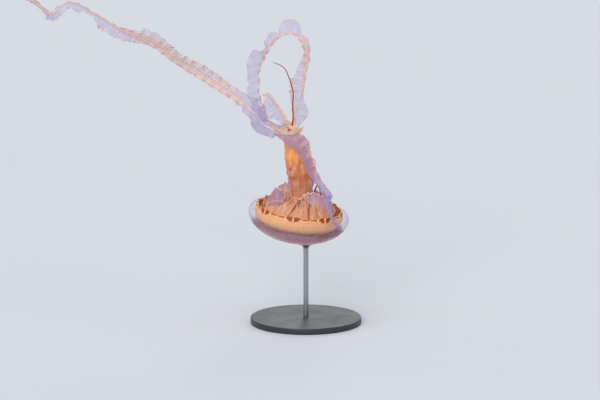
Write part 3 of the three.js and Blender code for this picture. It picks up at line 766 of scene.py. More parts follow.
class SEA_NETTLE_OT_body(bpy.types.Operator):
    """Brushes up the cream inner body with its marked lappets"""

    bl_idname = "sea_nettle.body"
    bl_label = "Inner body"

    def execute(self, context):
        s = sizes()
        radius = s.body_radius / MM
        margin = [(radius - 0.2, 4.5), (radius - 0.9, 9.0), (radius - 2.4, BODY_RIM - 0.6),
                  (radius - 4.0, BODY_RIM), (radius - 6.0, BODY_RIM - 0.8)]
        wall = Section(bowl_knots(radius, s.body_depth / MM), margin,
                       bowl_knots(CAVITY_RADIUS, CAVITY_DEPTH)[::-1])

        def place(u, v):
            r, z, far = wall.at(v)
            near_edge = near(far, wall.to_edge, 6.0)
            # The lappets are parted by furrows, and the margin arches beside each organ.
            bulge = lappet_bulge(u)
            from_organ = np.abs((u * OCTANTS + 0.5) % 1 - 0.5) * 4
            arch = np.sin(np.pi * np.clip(from_organ, 0, 1) ** 0.8) ** 0.8
            furrow = (1 - bulge) * near(far, wall.to_edge - 8, 10.0)
            r = r - 0.8 * furrow - 0.4 * near_edge * (1 - bulge)
            z = (z + near_edge * (1.2 * bulge - 0.8 + 3.6 * arch)
                 + 0.25 * ring_waves(u, 26, 12) * near_edge)
            return placed(around(r, turned(u), z))

        def low(u, v):
            _, z, far = wall.at(v)
            top = -28 + 4 * ring_waves(u, 40, 4)
            return (1 - smoothstep(z, -42, top)) * (far < wall.to_edge)

        # Painted light: where the lighter cream lifts the body's underside, which would otherwise
        # be in shade.
        def under(u, v):
            _, z, far = wall.at(v)
            return 0.85 * (1 - smoothstep(z, -26, -2)) * (far < wall.to_edge)

        fields = {
            "mark": lambda u, v: mark_field(u, np.abs(wall.to_edge - wall.far(v))),
            "line": lambda u, v: 0.5 + 0.12 * ring_waves(u, 60, 2) + 0.1 * ring_waves(u, 128, 3),
            "low": low,
            "under": under,
        }
        mesh = grid_mesh("inner_body", along=576, across=150, place=place, uv=wall.flow,
                         fields=fields, closed=True)
        piece("inner_body", mesh, cream_silicone(), ["inner_body"])
        return {"FINISHED"}


# ---- Cords ------------------------------------------------------------------------------

# No cord runs along this direction, which the seams of the cords' meshes face.
CORD_GUIDE = np.array([0.31, 0.87, 0.38])
# The way round a cord in its map, in metres.
ROUND_CORD = 0.006


def cord_mesh(name, knots, radius, sides, step=0.8, glow=lambda t: 0 * t, curl=None):
    """A round cord through the knots, closed to a point at both ends.

    radius(t) and glow(t) run along it from 0 to 1, and curl(t) moves its middle.
    """
    path = Path(knots)

    def centre(u):
        middle = path.point(path.place_at(u * path.length))
        return middle + curl(u) if curl else middle

    def place(u, v):
        middle = centre(u)
        along = unit(centre(np.clip(u + 0.002, 0, 1)) - centre(np.clip(u - 0.002, 0, 1)))
        across = unit(CORD_GUIDE - along * (along @ CORD_GUIDE)[:, None])
        beyond = np.cross(along, across)
        r = radius(u) * np.sqrt(np.clip(1 - (2 * np.abs(u - 0.5)) ** 40, 0, 1))
        angle = 2 * np.pi * v
        return placed(middle + across * (r * np.cos(angle))[:, None]
                      + beyond * (r * np.sin(angle))[:, None])

    return grid_mesh(name, along=max(12, int(path.length / step)), across=sides, place=place,
                     uv=lambda u, v: (u * path.length * MM, v * ROUND_CORD),
                     fields={"glow": lambda u, v: glow(u)}, closed=True)


def joined_mesh(name, meshes):
    """One mesh of several, whose maps and fields have the same names."""
    bm = bmesh.new()
    for mesh in meshes:
        bm.from_mesh(mesh)
        bpy.data.meshes.remove(mesh)
    whole = bpy.data.meshes.new(name)
    bm.to_mesh(whole)
    bm.free()
    return whole


# Of the 24 tentacles, the numbers of those that are long.
LONG_ONES = (1, 12, 13, 23)


def cleft_angle(number):
    """Where tentacle number 0 to 23 leaves the rim: three between each two sense organs."""
    return (RIM_TURN - math.pi / 2
            + (number // 3 + (number % 3 + 1) / 4) * 2 * math.pi / OCTANTS)


class SEA_NETTLE_OT_short_tentacles(bpy.types.Operator):
    """Curls a drawn-up tentacle out of each cleft that has no long one"""

    bl_idname = "sea_nettle.short_tentacles"
    bl_label = "Short tentacles"

    def execute(self, context):
        meshes = [self.tentacle(number) for number in range(3 * OCTANTS)
                  if number not in LONG_ONES]
        piece("short_tentacles", joined_mesh("short_tentacles", meshes),
              shared("tentacle", tentacle_silicone))
        return {"FINISHED"}

    def tentacle(self, number):
        """One of them, longest at the left and right of the bell and lowest at its front."""
        body = sizes().body_radius / MM
        thick = sizes().tentacle / MM
        draw = np.random.default_rng(40 + number)
        start = cleft_angle(number)
        way = -1 if math.cos(start) * math.sin(start) > 0 else 1
        sideways = smoothstep(abs(math.cos(start)), 0.55, 0.95)
        front = smoothstep(-math.sin(start), 0.5, 0.95)
        reach = 0.10 + 0.34 * sideways + 0.05 * draw.uniform()
        knots = []
        for t in np.linspace(0, 1, 9):
            angle = start + way * reach * max(0, t - 0.12)
            r = body - 6.5 - 6.5 * smoothstep(t, 0.05, 0.5) + 2.2 * math.sin(7 * t + number)
            z = (BODY_RIM - 4 + (3 + 4 * sideways - 5 * front) * smoothstep(t, 0, 0.25)
                 - 4 * smoothstep(t, 0.3, 1))
            z += 1.4 * math.sin(9 * t + 2 * number)
            knots.append((r * math.cos(angle), r * math.sin(angle), z))
        turns = 2 + draw.uniform()
        loose = 0.5 + 0.3 * sideways

        def curl(t):
            grown = loose * smoothstep(t, 0.1, 0.4)[:, None]
            turn = 2 * np.pi * turns * t
            return grown * np.stack([np.cos(turn), 0.4 * np.sin(2 * turn), np.sin(turn)], axis=1)

        return cord_mesh(f"short_{number}", knots, lambda t: thick * (0.5 - 0.25 * t), sides=8,
                         glow=lambda t: 0.25 * (1 - t), curl=curl)


# ---- Folds round the mouth --------------------------------------------------------------

MOUND_INNER = 18.0
MOUND_OUTER = 78.0
# The mound falls from the mouth to the rim, and its folds stand on that slope.
MOUTH_RADIUS = 27.0
FOLD_LENGTH = 48.0
RIM_HEIGHT = 12.5
MOUTH_RISE = 24.5
# Shares of the mound's rows in its top, its floor and its inside.
TOP_SHARE = 0.72
FLOOR_SHARE = 0.22
INSIDE_SHARE = 0.06
PETAL_WALL = 0.9
PETAL_STEP = 0.9
FRILL_WALL = 0.7


def cavity_floor(r):
    return -CAVITY_DEPTH * np.sqrt(np.clip(1 - (r / CAVITY_RADIUS) ** 2, 0, 1))


def mound_slope(r):
    """Share of the way from the mouth to the rim, and the mound's height without its folds."""
    t = np.clip((r - MOUTH_RADIUS) / FOLD_LENGTH, 0, 1.1)
    return t, RIM_HEIGHT + MOUTH_RISE * (1 - t * t)


def mound_top(r, angle):
    """Height of the folds that radiate from the mouth."""
    t, smooth = mound_slope(r)
    turn = angle / (2 * np.pi)
    spread = np.sin(np.pi * np.clip(t, 0, 1)) ** 0.6
    pleats = (3.2 * ring_waves(turn + 0.012 * np.sin(r / 9), 17, 61)
              + 1.3 * ring_waves(turn, 36, 62))
    creases = (0.35 * ring_waves(turn - 0.006 * np.sin(r / 5), 78, 63)
               + 0.4 * waves(r + 4 * np.sin(angle * 6), 14, 64))
    collar = 4.5 * near(r, MOUND_INNER, 7.0) * (1 + 0.3 * ring_waves(turn, 9, 65))
    return smooth + spread * (pleats + creases) + collar


def mound_surface(u, v):
    """Radius, angle and height of the mound: over the top, back along its floor, up inside."""
    angle = turned(u)
    floor_end = 1 - INSIDE_SHARE
    top = v < TOP_SHARE
    under = (v >= TOP_SHARE) & (v < floor_end)
    width = MOUND_OUTER - MOUND_INNER
    back = MOUND_OUTER - width * (v - TOP_SHARE) / FLOOR_SHARE
    r = np.where(top, MOUND_INNER + width * v / TOP_SHARE, np.where(under, back, MOUND_INNER))
    floor = cavity_floor(r) + 1.0
    high = mound_top(r, angle)
    inside = floor + (high - floor) * (v - floor_end) / INSIDE_SHARE
    return r, angle, np.where(top, high, np.where(under, floor, inside))


# Each petal's foot as x and y with its height there, in millimetres, then which way it
# rises, how much of it is mauve, how deep its ruffles are, and a number for its own waves.
PETALS = [
    ([(-64, -6, 4), (-56, -16, 20), (-47, -22, 31), (-37, -25, 25), (-27, -24, 8)],
     (-0.1, -0.1, 1), 0.95, 2.2, 1),
    ([(-41, -46, 2), (-35, -38, 18), (-30, -31, 32), (-24, -28, 28), (-21, -22, 8)],
     (-0.1, -0.1, 1), 0.05, 1.0, 2),
    ([(-66, -24, 3), (-57, -33, 14), (-46, -38, 17), (-34, -40, 12), (-24, -44, 3)],
     (-0.1, -0.3, 1), 0.8, 1.3, 3),
    ([(-4, -27, 6), (4, -26, 16), (12, -24, 24), (19, -20, 19), (24, -13, 5)],
     (0.05, -0.2, 1), -0.8, 1.8, 4),
    ([(10, -36, 8), (24, -42, 29), (40, -41, 32), (56, -34, 27), (68, -20, 6)],
     (0.02, -0.05, 1), 0.65, 0.8, 5),
    ([(-72, -22, 4), (-67, -6, 13), (-64, 8, 15), (-58, 24, 6)], (-0.5, 0, 1), 0.2, 2.2, 7),
    ([(-54, 30, 5), (-40, 38, 18), (-24, 40, 20), (-8, 46, 6)], (-0.2, 0.4, 1), 0.4, 2.5, 8),
    ([(-14, 28, 5), (2, 32, 20), (16, 34, 22), (30, 30, 6)], (0.1, 0.35, 1), -0.1, 2.2, 9),
    ([(14, 52, 4), (30, 48, 15), (44, 40, 18), (54, 28, 7)], (0.3, 0.4, 1), 0.3, 2.2, 10),
    ([(40, 10, 5), (46, 0, 18), (50, -10, 20), (50, -20, 6)], (0.5, 0, 1), 0.1, 2.2, 11),
    ([(-34, 58, 3), (-20, 62, 9), (-4, 62, 9), (12, 60, 3)], (0, 0.7, 1), 0.1, 1.8, 12),
    ([(-18, -28, 4), (-14, -36, 10), (-10, -46, 9), (-8, -58, 3)],
     (0.3, -0.3, 1), -0.2, 1.2, 13),
    ([(2, -32, 4), (5, -42, 10), (7, -52, 8), (10, -62, 2)], (-0.3, -0.2, 1), 0.2, 1.2, 14),
]
WHITE_PETAL = 4


def petal_mesh(name, feet, rise, tint, ruffle, number, seated):
    """An upstanding ruffled sheet along its foot, which a seated one has in the mound."""
    feet = np.asarray(feet, dtype=float)
    knots = feet[:, :3]
    if seated:
        r = np.hypot(feet[:, 0], feet[:, 1])
        z = mound_top(r, np.arctan2(feet[:, 1], feet[:, 0])) - 4.0
        knots = np.column_stack([feet[:, :2], z])
    heights = feet[:, -1]
    path = Path(knots)
    up = unit(np.asarray(rise, dtype=float))

    def tall(u):
        k = path.place_at(u * path.length)
        low = np.clip(np.floor(k).astype(int), 0, len(heights) - 2)
        return heights[low] + (heights[low + 1] - heights[low]) * smoothstep(k - low, 0, 1)

    def place(u, v):
        s = u * path.length
        foot = path.point(path.place_at(s))
        along = path.tangent(path.place_at(s))
        out = unit(np.cross(along, up))
        high = tall(u)
        room = np.clip(high / 12, 0.2, 1)
        seed = 100 + 10 * number
        swing = ruffle * waves(s, 17, seed) * v ** 1.2 + 1.5 * waves(s, 7, seed + 1) * v ** 2
        swing += 0.4 * waves(s, 3.6, seed + 2) * v ** 4
        shift = 1.3 * waves(s, 7.4, seed + 3) * v ** 2 + 0.6 * waves(s, 3.9, seed + 4) * v ** 4
        rise_by = (high * v * (1 + 0.10 * waves(s, 11, seed + 5) * v)
                   + 0.9 * waves(s, 5.4, seed + 6) * v ** 3)
        curl = 0.16 * high * v ** 3
        point = foot + up * rise_by[:, None] + out * ((swing * room) + curl)[:, None]
        return placed(point + along * (shift * room)[:, None])

    fields = {"tint": lambda u, v: tint + 0.5 * v - 0.25,
              "edge": lambda u, v: 0.55 * smoothstep(v, 0.8, 1)}
    return grid_mesh(name, along=max(24, int(path.length / PETAL_STEP)), across=26, place=place,
                     uv=lambda u, v: (u * path.length * MM, v * tall(u) * MM), fields=fields)


def petal(name, row, finish, wall, seated=False):
    """Puts up a petal from its row of numbers, with a wall of so many millimetres."""
    walled(piece(name, petal_mesh(name, *row, seated), finish), wall * MM)


class SEA_NETTLE_OT_mouth_folds(bpy.types.Operator):
    """Gathers the folds round the mouth and raises the petals on them"""

    bl_idname = "sea_nettle.mouth_folds"
    bl_label = "Mouth folds"

    def execute(self, context):
        c = colours()

        def place(u, v):
            return placed(around(*mound_surface(u, v)))

        # Painted shade: the troughs of the folds, below the mound's smooth slope, are turned
        # towards mauve.
        def tint(u, v):
            r, _, z = mound_surface(u, v)
            return np.clip(0.1 - (z - mound_slope(r)[1]) / 14, -0.3, 0.8) - 0.15

        mesh = grid_mesh("mouth_folds", along=420, across=110, place=place,
                         uv=lambda u, v: (u * 0.32, v * 0.11),
                         fields={"tint": tint, "edge": lambda u, v: 0 * u}, closed=True)
        folds = fold_silicone("Silicone rubber, peach, gathered", c.peach, c.crown, 1.0, 1.0)
        piece("mouth_folds", mesh, folds,
              ["lobe_right", "lobe_back", "lobe_left", "lobe_front"])
        sheets = fold_silicone("Silicone rubber, peach, poured thin", c.sheet, c.crown, 0.7, 0.95)
        white = fold_silicone("Silicone rubber, cream, frilled", c.crown, c.sheet_white, 0.9, 1.0)
        for number, row in enumerate(PETALS, 1):
            petal(f"mouth_petal_{number:02d}", row, white if number == WHITE_PETAL else sheets,
                  PETAL_WALL, seated=True)
        return {"FINISHED"}


# ---- Stem and crown ---------------------------------------------------------------------

STEM = Path([(0, 0, -21.9), (0, 0, -6), (-1, 2, 20), (-3, 4, 45), (-4, 5, 69), (-8, 6, 89),
             (-15, 8, 108), (-22, 9, 128), (-30, 11, 152), (-33, 12.5, 166), (-35, 13.5, 177)])
STEM_RADII = np.array([22, 21, 21, 22, 24, 27, 25, 22, 16, 15, 8.0])
# The top of the stem is rounded off over this share of its length.
CLOSING_SHARE = 0.025


def stem_point(u, v):
    """Middle, outward direction and radius of the stem."""
    s = u * STEM.length
    k = STEM.place_at(s)
    t = k / STEM.last
    along = STEM.tangent(k)
    guide = np.array([1.0, 0, 0])
    across = unit(guide - along * (along @ guide)[:, None])
    beyond = np.cross(along, across)
    angle = 2 * np.pi * v
    outward = across * np.cos(angle)[:, None] + beyond * np.sin(angle)[:, None]
    radius = between(k, STEM_RADII)
    ridge = np.cos(4 * angle + 5 * t)
    folds = 0.08 * ridge + 0.03 * np.maximum(0, ridge) * np.sin(70 * t)
    frills = 0.12 * smoothstep(t, 0.8, 1) * np.sin(7 * angle)
    wrinkles = (0.035 * np.cos(11 * angle + 1.4 * np.sin(s / 13))
                + 0.02 * np.cos(23 * angle - 1.1 * np.sin(s / 8)))
    lumps = 0.03 * np.sin(s / 4.2 + 2 * np.sin(2 * angle)) * np.cos(3 * angle + s / 15)
    last = np.clip((u - (1 - CLOSING_SHARE)) / CLOSING_SHARE, 0, 1)
    closing = np.sqrt(np.clip(1 - last ** 2, 0, 1))
    return STEM.point(k), outward, radius * (1 + folds + frills + wrinkles + lumps) * closing


# The crown's ragged petals: as above, but each foot is x, y and z with the petal's height.
CROWN_PETALS = [
    ([(-72, 18, 166, 3), (-66, 13, 163, 9), (-59, 8, 160, 15), (-52, 3, 159, 9)],
     (-0.55, -0.1, 0.9), -0.1, 1.2, 21),
    ([(-54, 1, 160, 6), (-49, -2, 160, 17), (-44, -4, 160, 22), (-40, -4, 161, 10)],
     (-0.2, -0.1, 1), 0, 1.4, 26),
    ([(-41, -4, 161, 7), (-35, -4, 161, 21), (-29, -3, 161, 17), (-22, 1, 161, 6)],
     (0.2, -0.1, 1), -0.1, 1.4, 22),
    ([(-23, 0, 160, 5), (-18, 8, 160, 16), (-18, 18, 160, 15), (-24, 25, 161, 4)],
     (0.3, 0.2, 1), 0.1, 2.6, 23),
    ([(-26, 25, 158, 4), (-36, 29, 158, 20), (-46, 26, 158, 17), (-52, 18, 159, 5)],
     (-0.1, 0.35, 1), 0.2, 3.0, 24),
    ([(-20, 20, 150, 3), (-24, 28, 148, 11), (-34, 31, 147, 13), (-44, 29, 149, 4)],
     (0.1, 0.8, 0.8), 0.4, 2.4, 27),
    ([(-44, 6, 164, 3), (-40, 4, 164, 12), (-35, 6, 164, 4)], (0, 0, 1), -0.1, 0.8, 35),
]
# Thin frills that stand out from the sides of the stem, given in the same way.
STEM_FRILLS = [
    ([(-40, 8, 126, 3), (-36, 6, 112, 6), (-32, 5, 96, 5), (-26, 4, 76, 5), (-22, 3, 55, 6),
      (-18, 2, 41, 8)], (-1, -0.3, 0.15), 0.7, 0.8, 31),
    ([(17, 0, 86, 2), (16, -2, 76, 8), (15, -2, 64, 8), (14, 0, 52, 5), (15, 0, 44, 3)],
     (1, -0.3, 0.1), 0.7, 0.8, 32),
]
# Frills gathered on the near arm: along its rib, to the right of it, and their height.
VEIL_FRILLS = [
    ([(62, -17, 2), (70, -15, 5), (79, -11, 7), (89, -7, 3)], (0.9, -0.35, 0.25), -0.3, 1.2, 33),
    ([(86, -9, 2), (93, -10, 7), (101, -9, 7), (110, -8, 2)], (1, -0.2, 0.4), 0.3, 1.0, 34),
]


def stem_fields():
    """Where the stem's coats lie, by the knots of its length and the way that they face."""

    def knot(u):
        return STEM.place_at(u * STEM.length)

    def level(u, v):
        return (knot(u) + 0.22 * ring_waves(v, 4, 51) + 0.16 * ring_waves(v, 11, 52)
                + 0.06 * ring_waves(v, 27, 53))

    def facing(v, turn):
        return 0.5 + 0.5 * np.cos(2 * np.pi * v - math.radians(turn))

    def glow(u, v):
        return near(level(u, v), 6.8, 0.75) * (0.3 + 0.7 * facing(v, 245))

    def tint(u, v):
        up = level(u, v)
        band = 0.45 * smoothstep(up, 7.3, 7.9) * (1 - smoothstep(up, 7.9, 8.6))
        sides = np.abs(np.cos(2 * np.pi * v)) + 0.1 * waves(u * STEM.length, 23, 54)
        return np.maximum(band, 0.5 * smoothstep(sides, 0.7, 1.05))

    def ruddy(u, v):
        return (near(level(u, v), 5.85, 0.35) * facing(v, 240)
                + 0.7 * near(level(u, v), 4.6, 0.4) * facing(v, 285))

    def speck(u, v):
        return near(level(u, v), 5.2, 0.2) * smoothstep(facing(v, 280), 0.6, 0.9)

    def core(u, v):
        return near(knot(u), 9.1, 0.45) * smoothstep(facing(v, 255), 0.9, 0.99)

    return {"high": lambda u, v: smoothstep(level(u, v), 3.0, 6.5), "glow": glow, "tint": tint,
            "ruddy": ruddy, "speck": speck, "cap": lambda u, v: smoothstep(level(u, v), 7.6, 8.7),
            "core": core}


class SEA_NETTLE_OT_stem(bpy.types.Operator):
    """Builds up the stem of pressed arms and its ragged crown"""

    bl_idname = "sea_nettle.stem"
    bl_label = "Stem and crown"

    def execute(self, context):
        c = colours()

        def place(u, v):
            middle, outward, radius = stem_point(u, v)
            return placed(middle + outward * radius[:, None])

        mesh = grid_mesh("arm_stem", along=330, across=168, place=place,
                         uv=lambda u, v: (u * STEM.length * MM, v * 0.132),
                         fields=stem_fields(), closed=True)
        piece("arm_stem", mesh, stem_silicone(), ["arm_column", "arm_crown"])
        cream = fold_silicone("Silicone rubber, cream, torn thin", c.crown, c.frill, 0.8, 0.95,
                              far=c.peach)
        for number, row in enumerate(CROWN_PETALS, 1):
            petal(f"crown_petal_{number}", row, cream, PETAL_WALL)
        soft = fold_silicone("Silicone rubber, lavender, torn thin", c.sheet, c.frill, 0.6, 0.85)
        frills = list(STEM_FRILLS)
        for feet, *row in VEIL_FRILLS:
            s, x, high = np.array(feet, dtype=float).T
            frills.append((np.column_stack([NEAR_ARM.on_sheet(s, x), high]), *row))
        for number, row in enumerate(frills, 1):
            petal(f"stem_frill_{number}", row, soft, FRILL_WALL)
        return {"FINISHED"}


# ---- Arms -------------------------------------------------------------------------------

# The way that the sheets of the arms face.
FACING = np.array([-0.03, -0.96, 0.28])
# The widths along an arm are smoothed as if its stations were so many millimetres apart.
WIDTH_STEP = 20.0
ARM_STEP = 0.85


def nowhere(k):
    return 0 * k


def to_edges(w):
    """Moves evenly spaced lines of a sheet so that they lie closer together at its edges."""
    return 0.5 * w + 0.5 * np.sin(w * np.pi / 2)


class Arm:
    """A ruffled sheet on both sides of a fleshy rib.

    Each station holds the rib's x, y and z, then the width of the sheet on its left and
    on its right. ribs holds half the width of the rib at every station and shift how far
    it lies to the right of the middle; pitch and ruffle are the length and the depth of the
    ruffles, the frills say how finely the edge is gathered on the left and on the right, and
    the rims how milky it is. twist, dense, ladder and warm follow the stations: they turn
    the sheet, thicken it, and say where threads cross it like rungs and where it is fleshy.
    """

    def __init__(self, stations, pitch, ruffle, ribs, twist=nowhere, camber=0.0, seed=0,
                 frills=(1.0, 1.0), fold=1.0, dense=nowhere, ladder=nowhere, shift=0.0,
                 warm=nowhere, rims=(1.0, 1.0)):
        stations = np.asarray(stations, dtype=float)
        count = len(stations)
        self.path = Path(stations[:, :3])
        self.width_knots = np.column_stack([WIDTH_STEP * np.arange(count), stations[:, 3:5]])
        self.ribs = np.broadcast_to(ribs, count)
        self.shift = np.broadcast_to(shift, count)
        self.frills = [np.broadcast_to(side, count) for side in frills]
        self.pitch = pitch
        self.ruffle = ruffle
        self.twist = twist
        self.camber = camber
        self.seed = seed
        self.fold = fold
        self.dense = dense
        self.ladder = ladder
        self.warm = warm
        self.rims = rims

    def place_at(self, u):
        """The place among the stations, as u goes along the rib from 0 to 1."""
        return self.path.place_at(u * self.path.length)

    def widths(self, k):
        """Width of the sheet on the left and on the right of its rib."""
        return smooth_path(self.width_knots, k)[:, 1:].T

    def reach(self, u, v):
        """Distance from the rib, as a share of the width and in millimetres, and the width."""
        w = to_edges(2 * v - 1)
        width = np.maximum(np.where(w < 0, *self.widths(self.place_at(u))), 0.8)
        return w, np.abs(w) * width, width

    def on_sheet(self, s, x):
        """A point of the sheet by its distance along the rib and, to the right, from it."""
        w = np.clip(x / np.where(x < 0, *self.widths(self.path.place_at(s))), -0.97, 0.97)
        table = np.linspace(-1, 1, 201)
        v = (np.interp(w, to_edges(table), table) + 1) / 2
        return self.form(np.clip(s / self.path.length, 0, 1), v)

    def surface(self, u, v):
        return placed(self.form(u, v))

    def form(self, u, v):
        """Points of the sheet about the bell's own axis, in millimetres."""
        s = u * self.path.length
        k = self.path.place_at(s)
        along = self.path.tangent(k)
        flat = unit(np.cross(FACING, along))
        up = np.cross(along, flat)
        turn = self.twist(k)[:, None]
        across = flat * np.cos(turn) + up * np.sin(turn)
        out = up * np.cos(turn) - flat * np.sin(turn)
        w, far, width = self.reach(u, v)
        share = np.abs(w)
        right = (w > 0).astype(float)

        def ripple(length, number):
            return waves(s + 700 * right, length, self.seed + number)

        # Even ruffles, then broad folds, then the fine gathers of the edges.
        phase = s / self.pitch * 2 * np.pi
        wave = np.sin(phase + right * 1.7) + 0.4 * np.sin(phase * 0.43 + right * 2.9)
        lift = np.where(w < 0, *self.ruffle) * wave * share ** 1.6
        broad = self.fold * np.minimum(1, width / 14)
        slide = 4.5 * broad * ripple(31, 8) * share ** 1.5
        lift = lift + 3.0 * broad * ripple(26, 9) * share ** 1.5
        room = np.minimum(1, width / 10)
        fine = room * np.where(w < 0, *(between(k, side) for side in self.frills))
        lift += fine * (2.2 * ripple(9.5, 1) * share ** 2 + 1.0 * ripple(4.3, 2) * share ** 4)
        slide += fine * (2.2 * ripple(8.6, 3) * share ** 3 + 1.0 * ripple(4.1, 4) * share ** 5)
        spread = far * (1 + 0.10 * ripple(24, 5) * share)
        spread += fine * (1.3 * ripple(7.9, 6) + 0.6 * ripple(3.7, 7)) * share ** 3
        return (self.path.point(k) - across * (np.sign(w) * spread)[:, None]
                + out * (lift * np.minimum(1, width / 6) - self.camber * w * w)[:, None]
                + along * slide[:, None])


LONG_ARM = Arm([
    (-41, 12, 164, 10, 10), (-64, 18, 162, 16, 12), (-89, 23, 168, 22, 14), (-107, 27, 185, 18, 20),
    (-127, 32, 201, 14, 24), (-148, 38, 214, 11, 14), (-195, 48, 237, 12, 16),
    (-227, 52, 254, 14, 15), (-256, 53, 266, 12, 13), (-286, 50, 281, 10, 14),
    (-311, 48, 297, 10, 18), (-337, 45, 308, 11, 21),
    (-361, 39, 315, 15, 12), (-390, 34, 325, 19, 5), (-420, 32, 339, 20, 3), (-435, 30, 347, 17, 3),
    (-450, 29, 354, 6, 3), (-475, 25, 366, 13, 4), (-501, 22, 371, 13, 3), (-517, 18, 359, 15, 4),
    (-530, 15, 346, 13, 4), (-552, 14, 358, 4, 4), (-575, 13, 373, 7, 6), (-598, 13, 391, 8, 7),
    (-621, 11, 418, 1, 1),
], 20, (1.2, 4),
    [5, 2.5, 0.9, 0.9, 3, 8, 8, 8, 8, 8, 8, 7, 6, 4, 2.5, 2.2, 2, 1.6, 1.6, 1.6, 2, 3, 3.5, 3, 1],
    lambda k: 0.35 * np.sin(k * 0.45), seed=200,
    frills=([.15, .1, 0, 0, 0, .1, .15, .15, .15, .15, .2, .3, .8, .5, .4, .4, .6, .3, .3,
             .8, .8, .8, .8, .8, .5],
            [.3, .2, 0, 0, .3, .8, .8, .8, .7, .7, .5, .3, .3, .2, .1, .1, .1, .1, .1,
             .4, .8, .8, .8, .8, .5]),
    fold=0.8,
    dense=lambda k: 0.75 * (1 - smoothstep(k, 2.2, 4.6)) + 0.5 * smoothstep(k, 19, 20),
    ladder=lambda k: np.exp(-((k - 14) / 1.1) ** 4),
    shift=[0, 0, 0, 0, -2, -4, -5, -5, -4, -3, -2, -1, 0, 1, 1, 1, 1, 1, 1, 0, 0, 0, 0, 0, 0])

LOOP_ARM = Arm([
    (-29, 14, 167, 6, 6), (-30, 18, 191, 6, 22), (-27, 21, 208, 12, 23), (-22, 25, 231, 24, 5),
    (-21, 26, 252, 28, 3), (-20, 28, 280, 20, 3), (-18, 30, 307, 13, 4), (-20, 31, 326, 9, 5),
    (-28, 35, 341, 8, 10), (-41, 37, 351, 4, 9), (-53, 40, 356, 3, 26), (-66, 42, 354, 3, 28),
    (-77, 43, 347, 3, 10), (-90, 46, 332, 3, 19), (-100, 48, 313, 4, 7), (-110, 58, 293, 8, 23),
    (-118, 62, 271, 10, 18), (-117, 62, 242, 11, 13), (-112, 58, 216, 10, 15),
    (-97, 52, 190, 9, 12), (-81, 46, 170, 5, 6),
], 19, (3.5, 3.5),
    [3.5, 1.6, 1.2, 1.2, 2, 5, 7, 6.5, 5, 3, 2, 2, 2.4, 3, 3, 1.4, 1, 1, 0.8, 0.8, 0.8],
    lambda k: 0.3 * np.sin(k * 0.6 + 1), seed=220,
    frills=([.2, .2, .4, .6, .8, .7, .3, .2, .2, .1, .1, .1, .1, .1, .1, .1, .1, .1, .1,
             .1, .1], 0.25),
    fold=0.5, dense=lambda k: 0.5 * near(k, 14.2, 0.5),
    ladder=lambda k: np.exp(-((k - 4.2) / 1.6) ** 4),
    shift=[0, 0, 0, 0, 0, 0, -1, -1, 0, 0, 0, 0, 0, 0, 0, -4, -9, -10, -9, -6, 0],
    warm=lambda k: 0.9 * near(k, 8.6, 0.4))

FAN_ARM = Arm([
    (-40, 7, 172, 4, 3), (-52, 3, 194, 16, 4), (-64, 2, 209, 24, 4), (-76, 2, 223, 26, 4),
    (-89, 3, 235, 12, 4), (-100, 5, 235, 1.5, 1),
], 14, (1.2, 1.5), [3.5, 3.5, 3.2, 2.8, 2.5, 2], seed=240, frills=(0.15, 1.6), fold=0.4,
    ladder=lambda k: 0.5 + 0 * k, shift=[0, 1, 1, 1, 0, 0])

NEAR_ARM = Arm([
    (-68, 6, 158, 1, 1), (-49, -4, 156, 10, 8), (-29, -11, 148, 22, 10), (-21, -14, 141, 28, 6.5),
    (-13, -16, 134, 22, 7), (0, -19, 118, 14, 7), (12, -20, 99, 11, 8.5), (23, -24, 84, 10, 6),
    (36, -32, 70, 9, 6), (50, -43, 58, 9.5, 9.5), (53, -53, 48, 7, 7), (58, -64, 34, 3.7, 3.7),
    (66, -71, 19, 3.3, 3.3), (78, -71, 4, 3, 4), (89, -62, -8, 1, 1),
], 20, (1.6, 0.3), 0.2, lambda k: -0.5 * smoothstep(k, 8, 11), camber=2.0, seed=260,
    frills=(0.6, 0.0), fold=0.15, dense=lambda k: 1 - smoothstep(k, 6, 9), rims=(0.8, 0.2))


